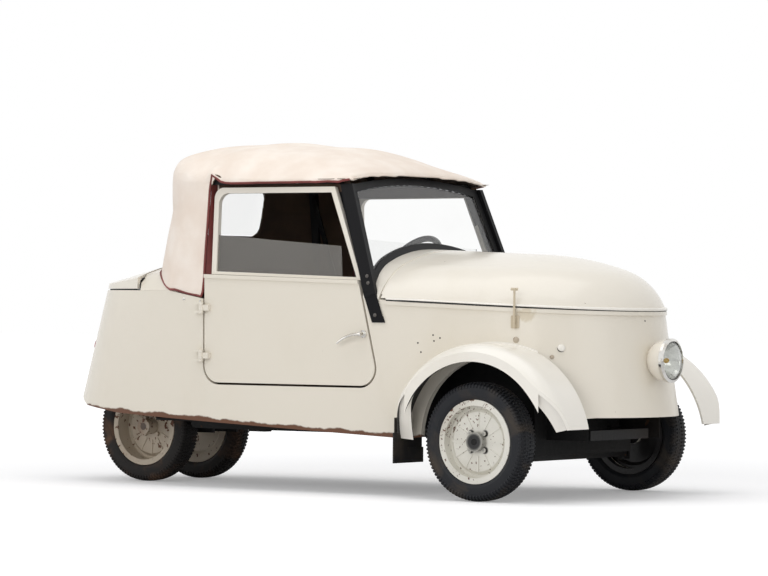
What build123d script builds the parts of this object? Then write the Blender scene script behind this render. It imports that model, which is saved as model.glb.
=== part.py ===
from build123d import *
import os
from math import atan2, cos, hypot, radians, sin, sqrt, tan

# Electric microcar in millimetres: +Z up from the ground, nose towards -Y, right-hand side towards -X.
# Driving dimensions come first; each group below them belongs to the pieces that its comment names.

overrun = 60.0
reach = 1600.0
door_gap = 8.0
lid_gap = 6.0
running_gap = 0.4

# Wheels and axles
axle_z = 213.0
front_axle_y = -820.0
rear_axle_y = 970.0
front_track = 1045.0
rear_track = 330.0
tyre_radius = 213.0
tyre_width = 92.0
rim_radius = 150.0

# Body plan at two heights: Y of the nose arc's centre, its radius, the half width and Y of the tail arcs' centres
plan_low_z = 180.0
plan_high_z = 900.0
nose_axis_low = -838.0
nose_axis_high = -705.0
nose_radius_low = 439.0
nose_radius_high = 452.0
widest_y = 350.0
half_width_low = 482.0
half_width_high = 493.0
tail_axis_low = 980.0
tail_axis_high = 772.0
tail_corner_x = 50.0
tail_radius = 360.0
wall = 22.0

# Lower edge of the body, from the nose to the tail
sill_nose_z = 300.0
sill_arch_front_y = -1150.0
sill_arch_rear_y = -455.0
sill_arch_rear_z = 212.0
sill_rear_y = 920.0
sill_rear_z = 273.0
sill_turn_y = 1125.0
sill_turn_z = 297.0
sill_tail_y = 1238.0
sill_tail_z = 341.0

# Bonnet and cowl: a tilted seam plane, and an arched section above it
seam_nose_z = 683.0
seam_cowl_z = 716.0
cowl_y = -346.0
cowl_rear_y = -224.0
bonnet_axis_y = -745.0
bonnet_nose_radius = 448.0
bonnet_cowl_half_width = 478.0
bonnet_rise = 186.0
bonnet_skirt = 8.0
bonnet_crown_radius = 993.0
bonnet_skin = 14.0
bonnet_gap = 10.0
cowl_skin = 14.0
arch_join_share = 0.68
bead_width = 14.0
bead_stand = 6.0
bead_drop = 4.0
bead_rear_y = -362.0
dash_half_width = 424.0
dash_drop = 66.0
dash_skin = 10.0

# Doors, hung at their rear edges
door_rear_y = 455.0
door_bottom_z = 400.0
door_front_bottom_y = -337.0
door_front_top_y = -248.0
door_belt_front_z = 786.0
door_belt_rear_z = 806.0
door_corner = 65.0
door_thickness = 40.0
frame_inset = 30.0
frame_top_z = 1131.0
frame_front_top_y = -115.0
frame_rail = 21.0
frame_thickness = 20.0
frame_belt_x = 484.0
frame_rear_x = 466.0
frame_front_x = 444.0
frame_corner = 40.0
frame_front_share = 1.06
hinge_stand = 1.0
side_glass = 5.0
glass_front_y = -147.0
glass_front_z = 912.0
glass_foot_y = -165.0
glass_rear_z = 957.0
hinge_radius = 9.0
hinge_height = 44.0
hinge_upper_z = 680.0
hinge_lower_z = 500.0
hinge_leaf = 34.0
handle_y = -274.0
handle_z = 590.0
handle_length = 100.0
handle_fall = 34.0
handle_bow = 8.0
handle_width = 16.0
handle_depth = 9.0
handle_stand = 24.0
handle_boss_radius = 14.0
handle_boss_height = 6.0

# Wheel openings and fenders
arch_radius = 300.0
fender_axis_y = -829.0
fender_axis_z = 186.0
fender_radius = 377.0
fender_outer_x = 603.0
fender_inner_x = 400.0
fender_skin = 8.0
fender_lip = 34.0
fender_shoulder = 60.0
fender_front_deg = 12.0
fender_rear_deg = 4.0
fender_front_corner = 150.0
fender_rear_corner = 140.0
fender_bead = 6.0
flap_bottom_z = 125.0
flap_inner_x = 361.0
flap_outer_x = 548.0
flap_thickness = 6.0
flap_tuck = 50.0

# Windscreen
screen_top_y = -168.0
screen_top_z = 1138.0
screen_base_y = -256.0
screen_base_z = 900.0
screen_top_half_width = 414.0
screen_base_half_width = 442.0
screen_arch = 36.0
screen_rim = 26.0
screen_depth = 16.0
screen_glass = 5.0
gasket = 22.0
pillar_width = 50.5
pillar_thickness = 18.0
pillar_stand = 6.0
pillar_knee_x = 482.0
pillar_knee_z = 745.0
pillar_lap = 16.0
pillar_top_y = -159.8
pillar_top_z = 1138.0
pillar_top_x = 434.0
pillar_foot_y = -339.8
pillar_foot_z = 632.0

# Soft top: Y of each section with its half width, edge height and crown height
top_front_y = -190.0
top_rear_y = 820.0
top_wall_lean = 62.0
top_wall_half_width = 489.0
top_wall_corner = 285.0
top_skin = 16.0
top_foot_z = 700.0
top_bow_y = 60.0
top_quarter_y = 650.0
top_front_width = 450.0
top_bow_width = 468.0
top_width = 489.0
top_quarter_width = 466.0
top_rear_width = 440.0
top_front_edge_z = 1152.0
top_bow_edge_z = 1158.0
top_edge_z = 1165.0
top_rear_edge_z = 1090.0
top_front_crown_z = 1200.0
top_bow_crown_z = 1288.0
top_crown_z = 1315.0
top_quarter_crown_z = 1298.0
top_rear_crown_z = 1222.0
top_crown_radius = 1500.0
top_front_crown_radius = 2600.0
side_edge_z = 1142.0
skirt_front_z = 714.0
skirt_rear_y = 640.0
ledge_z = 744.0
ledge_thickness = 12.0
rear_light_half_width = 260.0
rear_light_low_z = 966.0
rear_light_high_z = 1144.0
rear_light_corner = 40.0
rear_light_pane = 4.0

# Hoops and side rails that hold the soft top up, with a stay on each side
bow_gap = 4.0
bow_depth = 12.0
bow_width = 24.0
bow_rear_y = 612.0
rail_top_height = 18.0
rail_end_y = -140.0
stay_width = 20.0
stay_thickness = 6.0
stay_foot_y = 484.0
stay_foot_z = 690.0
stay_top_x = 414.0
stay_top_z = 1120.0
stay_pin_radius = 8.0

# Bonnet latches: a plate on each flank of the nose, and a hooked rod over the seam
latch_deg = 19.0
latch_z = 640.0
latch_plate_width = 30.0
latch_plate_height = 46.0
latch_plate_thickness = 4.0
latch_rod_radius = 4.0
latch_rod_length = 140.0
latch_rod_stand = 14.0
latch_bridge = 10.0
latch_grip_length = 26.0
latch_grip_radius = 5.0

# Rear lid
lid_front_y = 826.0
lid_skin = 16.0
lid_crown_front_z = 862.0
lid_crown_rear_z = 772.0
lid_crown_rear_y = 1200.0
lid_crown_radius = 1360.0

# Floor, bulkheads and frame
floor_z = 250.0
floor_skin = 8.0
toe_board_y = -505.0
seat_wall_y = 715.0
tub_floor_z = 445.0
shelf_z = 690.0
rail_x = 180.0
rail_width = 40.0
rail_height = 36.0
rail_front_y = -1080.0
jack_front_y = -350.0
jack_rear_y = 420.0
jack_pad_length = 80.0
jack_pad_height = 6.0

# Front axle
beam_z = 150.0
beam_depth = 44.0
beam_height = 34.0
beam_end_x = 424.0
kingpin_x = 440.0
boss_radius = 15.0
kingpin_radius = 8.0
boss_high_z = 250.0
knuckle_ear = 10.0
knuckle_web = 12.0
knuckle_clearance = 5.0
hub_length = 84.0
hub_radius = 34.0
rear_hub_radius = 30.0
rim_flange = 15.0
rim_lip = 5.0
rim_skin = 6.0
disc_skin = 6.0
disc_dish = 14.0
disc_ring_radius = 118.0
disc_ring_drop = 12.0
rib_count = 12
rib_inner_radius = 52.0
rib_outer_radius = 108.0
rib_width = 7.0
rib_height = 3.0
nut_count = 4
nut_circle_radius = 42.0
nut_radius = 9.0
nut_height = 12.0
tyre_bulge = 12.0
tyre_crown = 6.0
tread_share = 0.72
stub_radius = 12.0
leaf_length = 640.0
leaf_width = 50.0
leaf_thickness = 8.0
leaf_count = 3
leaf_step_share = 0.16

# Rear axle and drive
shaft_radius = 14.0
arm_x = 74.0
arm_plate = 10.0
arm_low_z = 192.0
arm_high_z = 262.0
arm_rear_y = 1004.0
pivot_y = 722.0
pivot_radius = 16.0
bearing_radius = 26.0
motor_y = 856.0
motor_z = 318.0
motor_radius = 72.0
motor_length = 170.0

# Seat and batteries
battery_front_y = 220.0
battery_rear_y = 600.0
battery_half_width = 330.0
battery_top_z = 332.0
cushion_front_y = 150.0
cushion_rear_y = 612.0
cushion_half_width = 425.0
cushion_top_z = 420.0
cushion_corner = 40.0
backrest_thickness = 90.0
backrest_top_z = 860.0
backrest_half_width = 398.0
backrest_lean = 60.0

# Steering wheel and column
helm_x = 250.0
helm_y = 38.0
helm_z = 814.0
helm_radius = 178.0
helm_grip = 12.0
helm_rake_deg = 35.0
column_radius = 18.0
column_length = 560.0
spindle_radius = 10.0
spindle_length = 60.0
boss_cap_radius = 34.0
spoke_width = 24.0
spoke_thickness = 5.0

# Headlamp and tail lamps
lamp_z = 504.0
lamp_radius = 80.0
lamp_front_y = -1303.6
lamp_depth = 86.0
lamp_back_share = 0.55
lamp_skin = 5.0
lamp_ring = 10.0
lamp_ring_depth = 16.0
lens_sagitta = 18.0
lens_thickness = 4.0
lamp_belly_share = 0.93
lamp_belly_depth_share = 0.45
tail_lamp_x = 115.0
tail_lamp_z = 520.0
tail_lamp_radius = 34.0
tail_lamp_stand = 26.0

os.makedirs("parts", exist_ok=True)


def arc_about(centre, start, end):
    """Arc from start to end about a known centre, less than half a turn."""
    middle = (Vector(*start) + Vector(*end)) / 2 - Vector(*centre)
    radius = (Vector(*start) - Vector(*centre)).length
    return ThreePointArc(start, Vector(*centre) + middle.normalized() * radius, end)


def along(centre, target, radius):
    """Point at a radius from a centre, on the way to a target."""
    span = hypot(target[0] - centre[0], target[1] - centre[1])
    return (
        centre[0] + (target[0] - centre[0]) * radius / span,
        centre[1] + (target[1] - centre[1]) * radius / span,
    )


def hull(inset):
    """Body volume between two plan outlines of tangent arcs, set in from the outer skin."""
    levels = (
        # height, nose arc centre, nose radius, half width, tail arc centre
        (plan_low_z, nose_axis_low, nose_radius_low, half_width_low, tail_axis_low),
        (plan_high_z, nose_axis_high, nose_radius_high, half_width_high, tail_axis_high),
    )
    with BuildPart() as form:
        for height, nose_y, nose_radius, half_width, tail_y in levels:
            ahead = widest_y - nose_y
            behind = tail_y - widest_y
            spread = half_width - tail_corner_x
            front_radius = (half_width**2 - nose_radius**2 + ahead**2) / (2 * (half_width - nose_radius))
            rear_radius = (spread**2 - tail_radius**2 + behind**2) / (2 * (spread - tail_radius))
            nose_centre = (0, nose_y)
            tail_centre = (tail_corner_x, tail_y)
            front_centre = (half_width - front_radius, widest_y)
            rear_centre = (half_width - rear_radius, widest_y)
            nose = (0, nose_y - nose_radius + inset)
            front_joint = along(front_centre, nose_centre, front_radius - inset)
            widest = (half_width - inset, widest_y)
            rear_joint = along(rear_centre, tail_centre, rear_radius - inset)
            tail = (tail_corner_x, tail_y + tail_radius - inset)
            with BuildSketch(Plane.XY.offset(height)):
                with BuildLine():
                    arc_about(nose_centre, nose, front_joint)
                    arc_about(front_centre, front_joint, widest)
                    arc_about(rear_centre, widest, rear_joint)
                    arc_about(tail_centre, rear_joint, tail)
                    Line(tail, (0, tail[1]))
                    mirror(about=Plane.YZ)
                make_face()
        loft()
    return form.part


def side_prism(points, inner=-reach, outer=reach):
    """Straight prism across the car over an outline of (Y, Z) points, between two X values."""
    with BuildPart() as prism:
        with BuildSketch(Plane.YZ.offset(inner)):
            with BuildLine():
                Polyline(*points, close=True)
            make_face()
        extrude(amount=outer - inner)
    return prism.part


def arch_lines(half_width, edge, crown, crown_radius, inset, foot):
    """Half outline of an arch: crown arc, tangent shoulder arc, then straight down to the foot."""
    join_x = arch_join_share * half_width
    crown_centre = (0, crown - crown_radius)
    join = (join_x, crown_centre[1] + sqrt(crown_radius**2 - join_x**2))
    lean = (join_x / crown_radius, (join[1] - crown_centre[1]) / crown_radius)
    drop = (half_width - join[0], edge - join[1])
    shoulder_radius = -(drop[0] ** 2 + drop[1] ** 2) / (2 * (drop[0] * lean[0] + drop[1] * lean[1]))
    shoulder_centre = (join[0] - lean[0] * shoulder_radius, join[1] - lean[1] * shoulder_radius)
    top = (0, crown - inset)
    inner_join = along(shoulder_centre, join, shoulder_radius - inset)
    side = along(shoulder_centre, (half_width, edge), shoulder_radius - inset)
    arc_about(crown_centre, top, inner_join)
    arc_about(shoulder_centre, inner_join, side)
    Line(side, (side[0], foot))
    Line((side[0], foot), (0, foot))

# The seam plane between bonnet and body rises towards the cowl
seam_slope = atan2(seam_cowl_z - seam_nose_z, cowl_y - (bonnet_axis_y - bonnet_nose_radius))


def seam_height(y):
    return seam_nose_z + (y - (bonnet_axis_y - bonnet_nose_radius)) * tan(seam_slope)


seam_up = Vector(0, -sin(seam_slope), cos(seam_slope))
seam_back = Vector(0, cos(seam_slope), sin(seam_slope))
bonnet_axis = Vector(0, bonnet_axis_y, seam_height(bonnet_axis_y))


def bonnet_form(inset, foot):
    """Dome turned about the nose axis, carried back to the cowl by a loft of two arches."""
    front_plane = Plane(origin=bonnet_axis, x_dir=(1, 0, 0), z_dir=seam_back * -1)
    run = (cowl_y - bonnet_gap / 2 - bonnet_axis_y) / cos(seam_slope)
    with BuildPart() as form:
        with BuildSketch(front_plane):
            with BuildLine():
                arch_lines(bonnet_nose_radius, bonnet_skirt, bonnet_rise, bonnet_crown_radius, inset, foot)
                Line((0, foot), (0, bonnet_rise - inset))
            make_face()
        revolve(axis=Axis(bonnet_axis, seam_up * -1), revolution_arc=180)
        for offset, half_width in ((0, bonnet_nose_radius), (-run, bonnet_cowl_half_width)):
            with BuildSketch(front_plane.offset(offset)):
                with BuildLine():
                    arch_lines(half_width, bonnet_skirt, bonnet_rise, bonnet_crown_radius, inset, foot)
                    mirror(about=Plane.YZ)
                make_face()
        loft()
    return form.part


def cowl_form(inset, front_y, rear_y, foot):
    """The bonnet's rear section carried on towards the windscreen."""
    start = Vector(0, front_y, seam_height(front_y))
    with BuildPart() as form:
        with BuildSketch(Plane(origin=start, x_dir=(1, 0, 0), z_dir=seam_back * -1)):
            with BuildLine():
                arch_lines(bonnet_cowl_half_width, bonnet_skirt, bonnet_rise, bonnet_crown_radius, inset, foot)
                mirror(about=Plane.YZ)
            make_face()
        extrude(amount=-(rear_y - front_y))
    return form.part


def top_form(inset, wall_y):
    """Soft top volume: arched sections from the windscreen to the raked rear wall."""
    sections = (
        # Y, half width, edge height, crown height, crown radius
        (top_front_y, top_front_width, top_front_edge_z, top_front_crown_z, top_front_crown_radius),
        (top_bow_y, top_bow_width, top_bow_edge_z, top_bow_crown_z, top_crown_radius),
        (widest_y, top_width, top_edge_z, top_crown_z, top_crown_radius),
        (top_quarter_y, top_quarter_width, top_edge_z, top_quarter_crown_z, top_crown_radius),
        (top_rear_y, top_rear_width, top_rear_edge_z, top_rear_crown_z, top_crown_radius),
    )
    wall_slope = top_wall_lean / (top_rear_edge_z - ledge_z)
    wall_side = top_wall_half_width - inset
    with BuildPart() as plan:
        for height in (top_foot_z - overrun, top_crown_z + overrun):
            wall_rear = wall_y - (height - ledge_z) * wall_slope
            with BuildSketch(Plane.XY.offset(height)):
                with BuildLine():
                    corners = ((-wall_side, -reach), (wall_side, -reach), (wall_side, wall_rear), (-wall_side, wall_rear))
                    Polyline(*corners, close=True)
                make_face()
                fillet(vertices().group_by(Axis.Y)[-1], top_wall_corner - inset)
        loft()
    with BuildPart() as form:
        for y, half_width, edge, crown, crown_radius in sections:
            with BuildSketch(Plane.XZ.offset(-y)):
                with BuildLine():
                    arch_lines(half_width, edge, crown, crown_radius, inset, top_foot_z - overrun)
                    mirror(about=Plane.YZ)
                make_face()
        loft()
    with BuildPart() as shaped:
        add(form.part)
        add(plan.part, mode=Mode.INTERSECT)
    return shaped.part


def write(piece, name):
    piece.label = name
    export_step(piece, f"parts/{name}.step")


def mirrored(piece):
    return piece.mirror(Plane.YZ)


hull_outer = hull(0)
hull_inner = hull(wall)

# Outlines seen from the side, as (Y, Z) points
sill_under = side_prism((
    (-reach, sill_nose_z),
    (sill_arch_front_y, sill_nose_z),
    (sill_arch_rear_y, sill_arch_rear_z),
    (sill_rear_y, sill_rear_z),
    (sill_turn_y, sill_turn_z),
    (sill_tail_y, sill_tail_z),
    (reach, sill_tail_z),
    (reach, -reach),
    (-reach, -reach),
))
above_seam = side_prism((
    (-reach, seam_height(-reach)),
    (cowl_rear_y, seam_height(cowl_rear_y)),
    (cowl_rear_y, seam_height(cowl_rear_y) - floor_skin),
    (door_rear_y + door_gap, skirt_front_z),
    (skirt_rear_y, ledge_z),
    (reach, ledge_z),
    (reach, reach),
    (-reach, reach),
))

door_outline = (
    (door_front_bottom_y, door_bottom_z),
    (door_rear_y, door_bottom_z),
    (door_rear_y, door_belt_rear_z),
    (door_front_top_y, door_belt_front_z),
)


def door_prism(gap):
    """The door's side outline with its rounded lower corners, grown by a gap."""
    with BuildPart() as prism:
        with BuildSketch(Plane.YZ):
            with BuildLine():
                Polyline(*door_outline, close=True)
            make_face()
            lower = vertices().group_by(Axis.Y)[0]
            fillet(lower, door_corner)
            if gap > 0:
                offset(amount=gap, kind=Kind.INTERSECTION)
        extrude(amount=reach)
    return prism.part


door_hole = door_prism(door_gap)
above_doors = side_prism((
    (door_front_top_y - door_gap, door_belt_front_z - overrun),
    (door_rear_y + door_gap, door_belt_rear_z - overrun),
    (door_rear_y + door_gap, reach),
    (door_front_top_y - door_gap, reach),
))

# Body: side walls, nose and tail round the doors, the wheel openings and the lamp
with BuildPart() as floor_tub:
    add(hull_inner)
    add(side_prism((
        (toe_board_y, floor_z),
        (seat_wall_y + floor_skin, floor_z),
        (seat_wall_y + floor_skin, tub_floor_z),
        (reach, tub_floor_z),
        (reach, tub_floor_z + floor_skin),
        (seat_wall_y, tub_floor_z + floor_skin),
        (seat_wall_y, floor_z + floor_skin),
        (toe_board_y + floor_skin, floor_z + floor_skin),
        (toe_board_y + floor_skin, shelf_z),
        (cowl_y, shelf_z),
        (cowl_y, shelf_z + floor_skin),
        (toe_board_y, shelf_z + floor_skin),
    )), mode=Mode.INTERSECT)
write(floor_tub.part, "floor_tub")

seam_band = side_prism((
    (-reach, seam_height(-reach) - bead_drop - bead_width),
    (bead_rear_y, seam_height(bead_rear_y) - bead_drop - bead_width),
    (bead_rear_y, seam_height(bead_rear_y) - bead_drop),
    (-reach, seam_height(-reach) - bead_drop),
))
with BuildPart() as seam_bead:
    add(hull(-bead_stand))
    add(seam_band, mode=Mode.INTERSECT)
    add(hull_inner, mode=Mode.SUBTRACT)
ledge_slab = side_prism((
    (seat_wall_y, tub_floor_z + floor_skin),
    (seat_wall_y + floor_skin, tub_floor_z + floor_skin),
    (seat_wall_y + floor_skin, ledge_z - ledge_thickness),
    (lid_front_y + lid_gap, ledge_z - ledge_thickness),
    (lid_front_y + lid_gap, ledge_z),
    (seat_wall_y, ledge_z),
))
with BuildPart() as body_shell:
    add(hull_outer)
    add(hull_inner, mode=Mode.SUBTRACT)
    add(sill_under, mode=Mode.SUBTRACT)
    add(above_seam, mode=Mode.SUBTRACT)
    add(door_hole, mode=Mode.SUBTRACT)
    add(mirrored(door_hole), mode=Mode.SUBTRACT)
    with BuildSketch(Plane.YZ.offset(-reach)):
        with Locations((front_axle_y, axle_z)):
            Circle(arch_radius)
    extrude(amount=2 * reach, mode=Mode.SUBTRACT)
with BuildPart() as ledge:
    add(hull_inner)
    add(ledge_slab, mode=Mode.INTERSECT)
with body_shell:
    add(seam_bead.part)
    add(ledge.part)

# Bonnet and cowl
foot = -bonnet_skin - overrun
with BuildPart() as bonnet:
    add(bonnet_form(0, lid_gap))
    add(bonnet_form(bonnet_skin, foot), mode=Mode.SUBTRACT)
write(bonnet.part, "bonnet")

with BuildPart() as dash_panel:
    add(cowl_form(cowl_skin / 2, cowl_rear_y - dash_skin, cowl_rear_y, -dash_drop))
    with Locations((0, cowl_rear_y, seam_cowl_z)):
        Box(2 * dash_half_width, 2 * overrun, 2 * reach, mode=Mode.INTERSECT)
with BuildPart() as cowl:
    add(cowl_form(0, cowl_y + bonnet_gap / 2, cowl_rear_y, 0))
    add(cowl_form(cowl_skin, cowl_y + bonnet_gap / 2 + cowl_skin, cowl_rear_y + overrun, foot), mode=Mode.SUBTRACT)
    add(dash_panel.part)
    add(door_hole, mode=Mode.SUBTRACT)
    add(mirrored(door_hole), mode=Mode.SUBTRACT)
write(cowl.part, "cowl")

# Doors: a thick panel, a window frame toed in towards the windscreen, and a half-lowered pane
frame_rear_y = door_rear_y - frame_inset
frame_rear_top = Vector(frame_rear_x, frame_rear_y, frame_top_z)
frame_forward = (Vector(frame_front_x, frame_front_top_y, frame_top_z) - frame_rear_top).normalized()
frame_rise = frame_rear_top - Vector(frame_belt_x, frame_rear_y, door_belt_rear_z)
frame_plane = Plane(origin=frame_rear_top, x_dir=frame_forward, z_dir=frame_forward.cross(frame_rise))


def frame_outline(inset):
    """Window frame outline as (distance forward of its rear edge, height over its top) points."""
    front_top = frame_rear_y - frame_front_top_y - inset * frame_front_share
    front_foot = frame_rear_y - door_front_top_y - inset * frame_front_share
    lean = (front_foot - front_top) / (frame_top_z - door_belt_front_z)
    return (
        (inset, door_belt_rear_z + inset / 2 - frame_top_z),
        (inset, -inset),
        (front_top + lean * inset, -inset),
        (front_foot, door_belt_front_z + inset / 2 - frame_top_z),
    )


def frame_slab(inset, depth, corner):
    """Solid slab over the window frame's outline, from its outer face inwards."""
    with BuildPart() as slab:
        with BuildSketch(frame_plane):
            with BuildLine():
                Polyline(*frame_outline(inset), close=True)
            make_face()
            fillet(vertices().sort_by(Axis.Y)[-2:].sort_by(Axis.X)[0], corner)
        extrude(amount=depth)
    return slab.part


door_slab = door_prism(0)
belt_slope = (door_belt_rear_z - door_belt_front_z) / (door_rear_y - door_front_top_y)
belt_band = side_prism((
    (door_rear_y, door_belt_rear_z - bead_width),
    (door_rear_y, door_belt_rear_z),
    (door_front_top_y - overrun, door_belt_front_z - overrun * belt_slope),
    (door_front_top_y - overrun, door_belt_front_z - overrun * belt_slope - bead_width),
))
frame_solid = frame_slab(0, frame_thickness, frame_corner)
frame_window = frame_slab(frame_rail, frame_thickness, frame_corner)
pane_solid = frame_slab(frame_rail, frame_thickness / 2 + side_glass / 2, frame_corner)
pane_front = frame_slab(frame_rail, frame_thickness / 2 - side_glass / 2, frame_corner)
pane_cut = side_prism((
    (door_rear_y, door_belt_rear_z - overrun),
    (door_rear_y, glass_rear_z),
    (glass_front_y, glass_front_z),
    (glass_foot_y, door_belt_front_z - overrun),
))

hinge_axis_x = half_width_high + hinge_radius + hinge_stand
hinge_axis_y = door_rear_y + door_gap / 2


def hinge_barrels(spans, leaf_from, leaf_to):
    """Hinge knuckles on the door's axis with a leaf from each to the panel."""
    leaf_reach = 2 * hinge_radius + wall / 2
    with BuildPart() as barrels:
        for low, high in spans:
            with Locations((hinge_axis_x, hinge_axis_y, (low + high) / 2)):
                Cylinder(hinge_radius, high - low)
            with Locations((hinge_axis_x - leaf_reach / 2, (leaf_from + leaf_to) / 2, (low + high) / 2)):
                Box(leaf_reach, leaf_to - leaf_from, high - low)
    return barrels.part


half = hinge_height / 2
moving_spans = tuple((z - half / 2, z + half / 2) for z in (hinge_lower_z, hinge_upper_z))
fixed_spans = tuple(
    span
    for z in (hinge_lower_z, hinge_upper_z)
    for span in ((z - half, z - half / 2 - running_gap), (z + half / 2 + running_gap, z + half))
)
with BuildPart() as belt_bead:
    add(hull(-bead_stand))
    add(belt_band, mode=Mode.INTERSECT)
with BuildPart() as door_left:
    add(hull_outer)
    add(belt_bead.part)
    add(hull(door_thickness), mode=Mode.SUBTRACT)
    add(door_slab, mode=Mode.INTERSECT)
    add(hinge_barrels(moving_spans, hinge_axis_y - hinge_leaf, hinge_axis_y))
with BuildPart() as door_frame_left:
    add(frame_solid)
    add(frame_window, mode=Mode.SUBTRACT)
    add(door_slab, mode=Mode.SUBTRACT)
with BuildPart() as door_glass_left:
    add(pane_solid)
    add(pane_front, mode=Mode.SUBTRACT)
    add(pane_cut, mode=Mode.INTERSECT)
    add(door_slab, mode=Mode.SUBTRACT)
with BuildPart() as hinge_left:
    add(hinge_barrels(fixed_spans, hinge_axis_y, hinge_axis_y + hinge_leaf))
handle_x = half_width_low + handle_stand
with BuildPart() as door_handle_left:
    with BuildLine() as handle_line:
        ThreePointArc(
            (handle_x, handle_y - handle_width / 2, handle_z),
            (handle_x + handle_bow / 2, handle_y + handle_length / 2, handle_z - handle_fall / 2 + handle_bow),
            (handle_x - handle_bow / 2, handle_y + handle_length, handle_z - handle_fall),
        )
    with BuildSketch(handle_line.line ^ 0):
        Ellipse(handle_depth / 2, handle_width / 2)
    sweep()
    with Locations((handle_x - handle_stand, handle_y, handle_z)):
        Cylinder(handle_width / 2, 2 * handle_stand, rotation=(0, 90, 0))
    with Locations((half_width_low - handle_boss_height / 2, handle_y, handle_z)):
        Cylinder(handle_boss_radius, handle_boss_height, rotation=(0, 90, 0))
    add(hull_outer, mode=Mode.SUBTRACT)
for side, turn in (("left", None), ("right", Plane.YZ)):
    for piece, name in (
        (door_left, "door"),
        (door_frame_left, "door_frame"),
        (door_glass_left, "door_glass"),
        (door_handle_left, "door_handle"),
    ):
        write(piece.part.mirror(turn) if turn else piece.part, f"{name}_{side}")
with body_shell:
    add(hinge_left.part)
    add(mirrored(hinge_left.part))
write(body_shell.part, "body_shell")

# Soft top: one arched shell, open over the doors, with skirts behind them and a rear light
top_front_cut = side_prism((
    (-reach, -reach),
    (door_rear_y + door_gap, -reach),
    (door_rear_y + door_gap, side_edge_z),
    (-reach, side_edge_z),
))
top_foot_cut = side_prism((
    (door_rear_y + door_gap, -reach),
    (reach, -reach),
    (reach, ledge_z),
    (skirt_rear_y, ledge_z),
    (door_rear_y + door_gap, skirt_front_z),
))
rear_light_height = rear_light_high_z - rear_light_low_z
with BuildPart() as rear_light_hole:
    with BuildSketch(Plane.XZ.offset(-top_quarter_y)):
        with Locations((0, (rear_light_high_z + rear_light_low_z) / 2)):
            RectangleRounded(2 * rear_light_half_width, rear_light_height, rear_light_corner)
    extrude(amount=-reach)
top_outer = top_form(0, top_rear_y)
with BuildPart() as soft_top:
    add(top_outer)
    add(top_form(top_skin, top_rear_y - top_skin), mode=Mode.SUBTRACT)
    add(top_front_cut, mode=Mode.SUBTRACT)
    add(top_foot_cut, mode=Mode.SUBTRACT)
    add(rear_light_hole.part, mode=Mode.SUBTRACT)
write(soft_top.part, "soft_top")
pane_in = (top_skin - rear_light_pane) / 2
with BuildPart() as rear_window:
    add(top_form(0, top_rear_y - pane_in))
    add(top_form(0, top_rear_y - pane_in - rear_light_pane), mode=Mode.SUBTRACT)
    add(rear_light_hole.part, mode=Mode.INTERSECT)
write(rear_window.part, "rear_window")

# Hoops and side rails follow the inside of the cloth; the rear hoop stands on the body
bow_inset = top_skin + bow_gap
bow_outer = top_form(bow_inset, top_rear_y - bow_inset)
bow_inner = top_form(bow_inset + bow_depth, top_rear_y - bow_inset - bow_depth)
with BuildPart() as bow_slices:
    for y, low in ((top_bow_y, side_edge_z), (widest_y, side_edge_z), (bow_rear_y, ledge_z)):
        with Locations((0, y, (low + reach) / 2)):
            Box(2 * reach, bow_width, reach - low)
    with Locations((0, (rail_end_y + bow_rear_y) / 2, side_edge_z + rail_top_height / 2)):
        Box(2 * reach, bow_rear_y - rail_end_y, rail_top_height)
stay_x = half_width_low - wall - bow_depth - stay_thickness
stay_foot = Vector(stay_x, stay_foot_y, stay_foot_z)
stay_top = Vector(stay_top_x, bow_rear_y, stay_top_z)
stay_run = stay_top - stay_foot
stay_side = stay_run.cross(Vector(0, -1, 0)).normalized()
with BuildPart() as stay_left:
    with BuildSketch(Plane(origin=stay_foot, x_dir=stay_run.normalized(), z_dir=stay_side)):
        with Locations((stay_run.length / 2, 0)):
            SlotOverall(stay_run.length + stay_width, stay_width)
    extrude(amount=stay_thickness / 2, both=True)
    with BuildSketch(Plane.YZ.offset(stay_x)):
        with Locations((stay_foot_y, stay_foot_z)):
            Circle(stay_pin_radius)
    extrude(amount=half_width_high - wall - stay_x)
    add(body_shell.part, mode=Mode.SUBTRACT)
with BuildPart() as hood_bows:
    add(bow_outer)
    add(bow_inner, mode=Mode.SUBTRACT)
    add(bow_slices.part, mode=Mode.INTERSECT)
    add(body_shell.part, mode=Mode.SUBTRACT)
    add(stay_left.part)
    add(mirrored(stay_left.part))
write(hood_bows.part, "hood_bows")

# Rear lid: a crowned cap over the tail
lid_slope = atan2(lid_crown_front_z - lid_crown_rear_z, lid_crown_rear_y - lid_front_y)
lid_down = Vector(0, cos(lid_slope), -sin(lid_slope))


def lid_crown(drop):
    """Everything under a shallow arch that falls towards the tail."""
    start = Vector(0, lid_front_y, lid_crown_front_z - drop) - lid_down * overrun
    with BuildPart() as crown:
        with BuildSketch(Plane(origin=start, x_dir=(1, 0, 0), z_dir=lid_down * -1)):
            with Locations((0, -lid_crown_radius)):
                Circle(lid_crown_radius)
        extrude(amount=-reach)
    return crown.part


lid_band = side_prism((
    (lid_front_y + lid_gap, ledge_z + lid_gap),
    (reach, ledge_z + lid_gap),
    (reach, reach),
    (lid_front_y + lid_gap, reach),
))
with BuildPart() as lid_inside:
    add(hull(lid_skin))
    add(lid_crown(lid_skin), mode=Mode.INTERSECT)
with BuildPart() as deck_lid:
    add(hull_outer)
    add(lid_band, mode=Mode.INTERSECT)
    add(lid_crown(0), mode=Mode.INTERSECT)
    add(lid_inside.part, mode=Mode.SUBTRACT)
write(deck_lid.part, "deck_lid")

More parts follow.
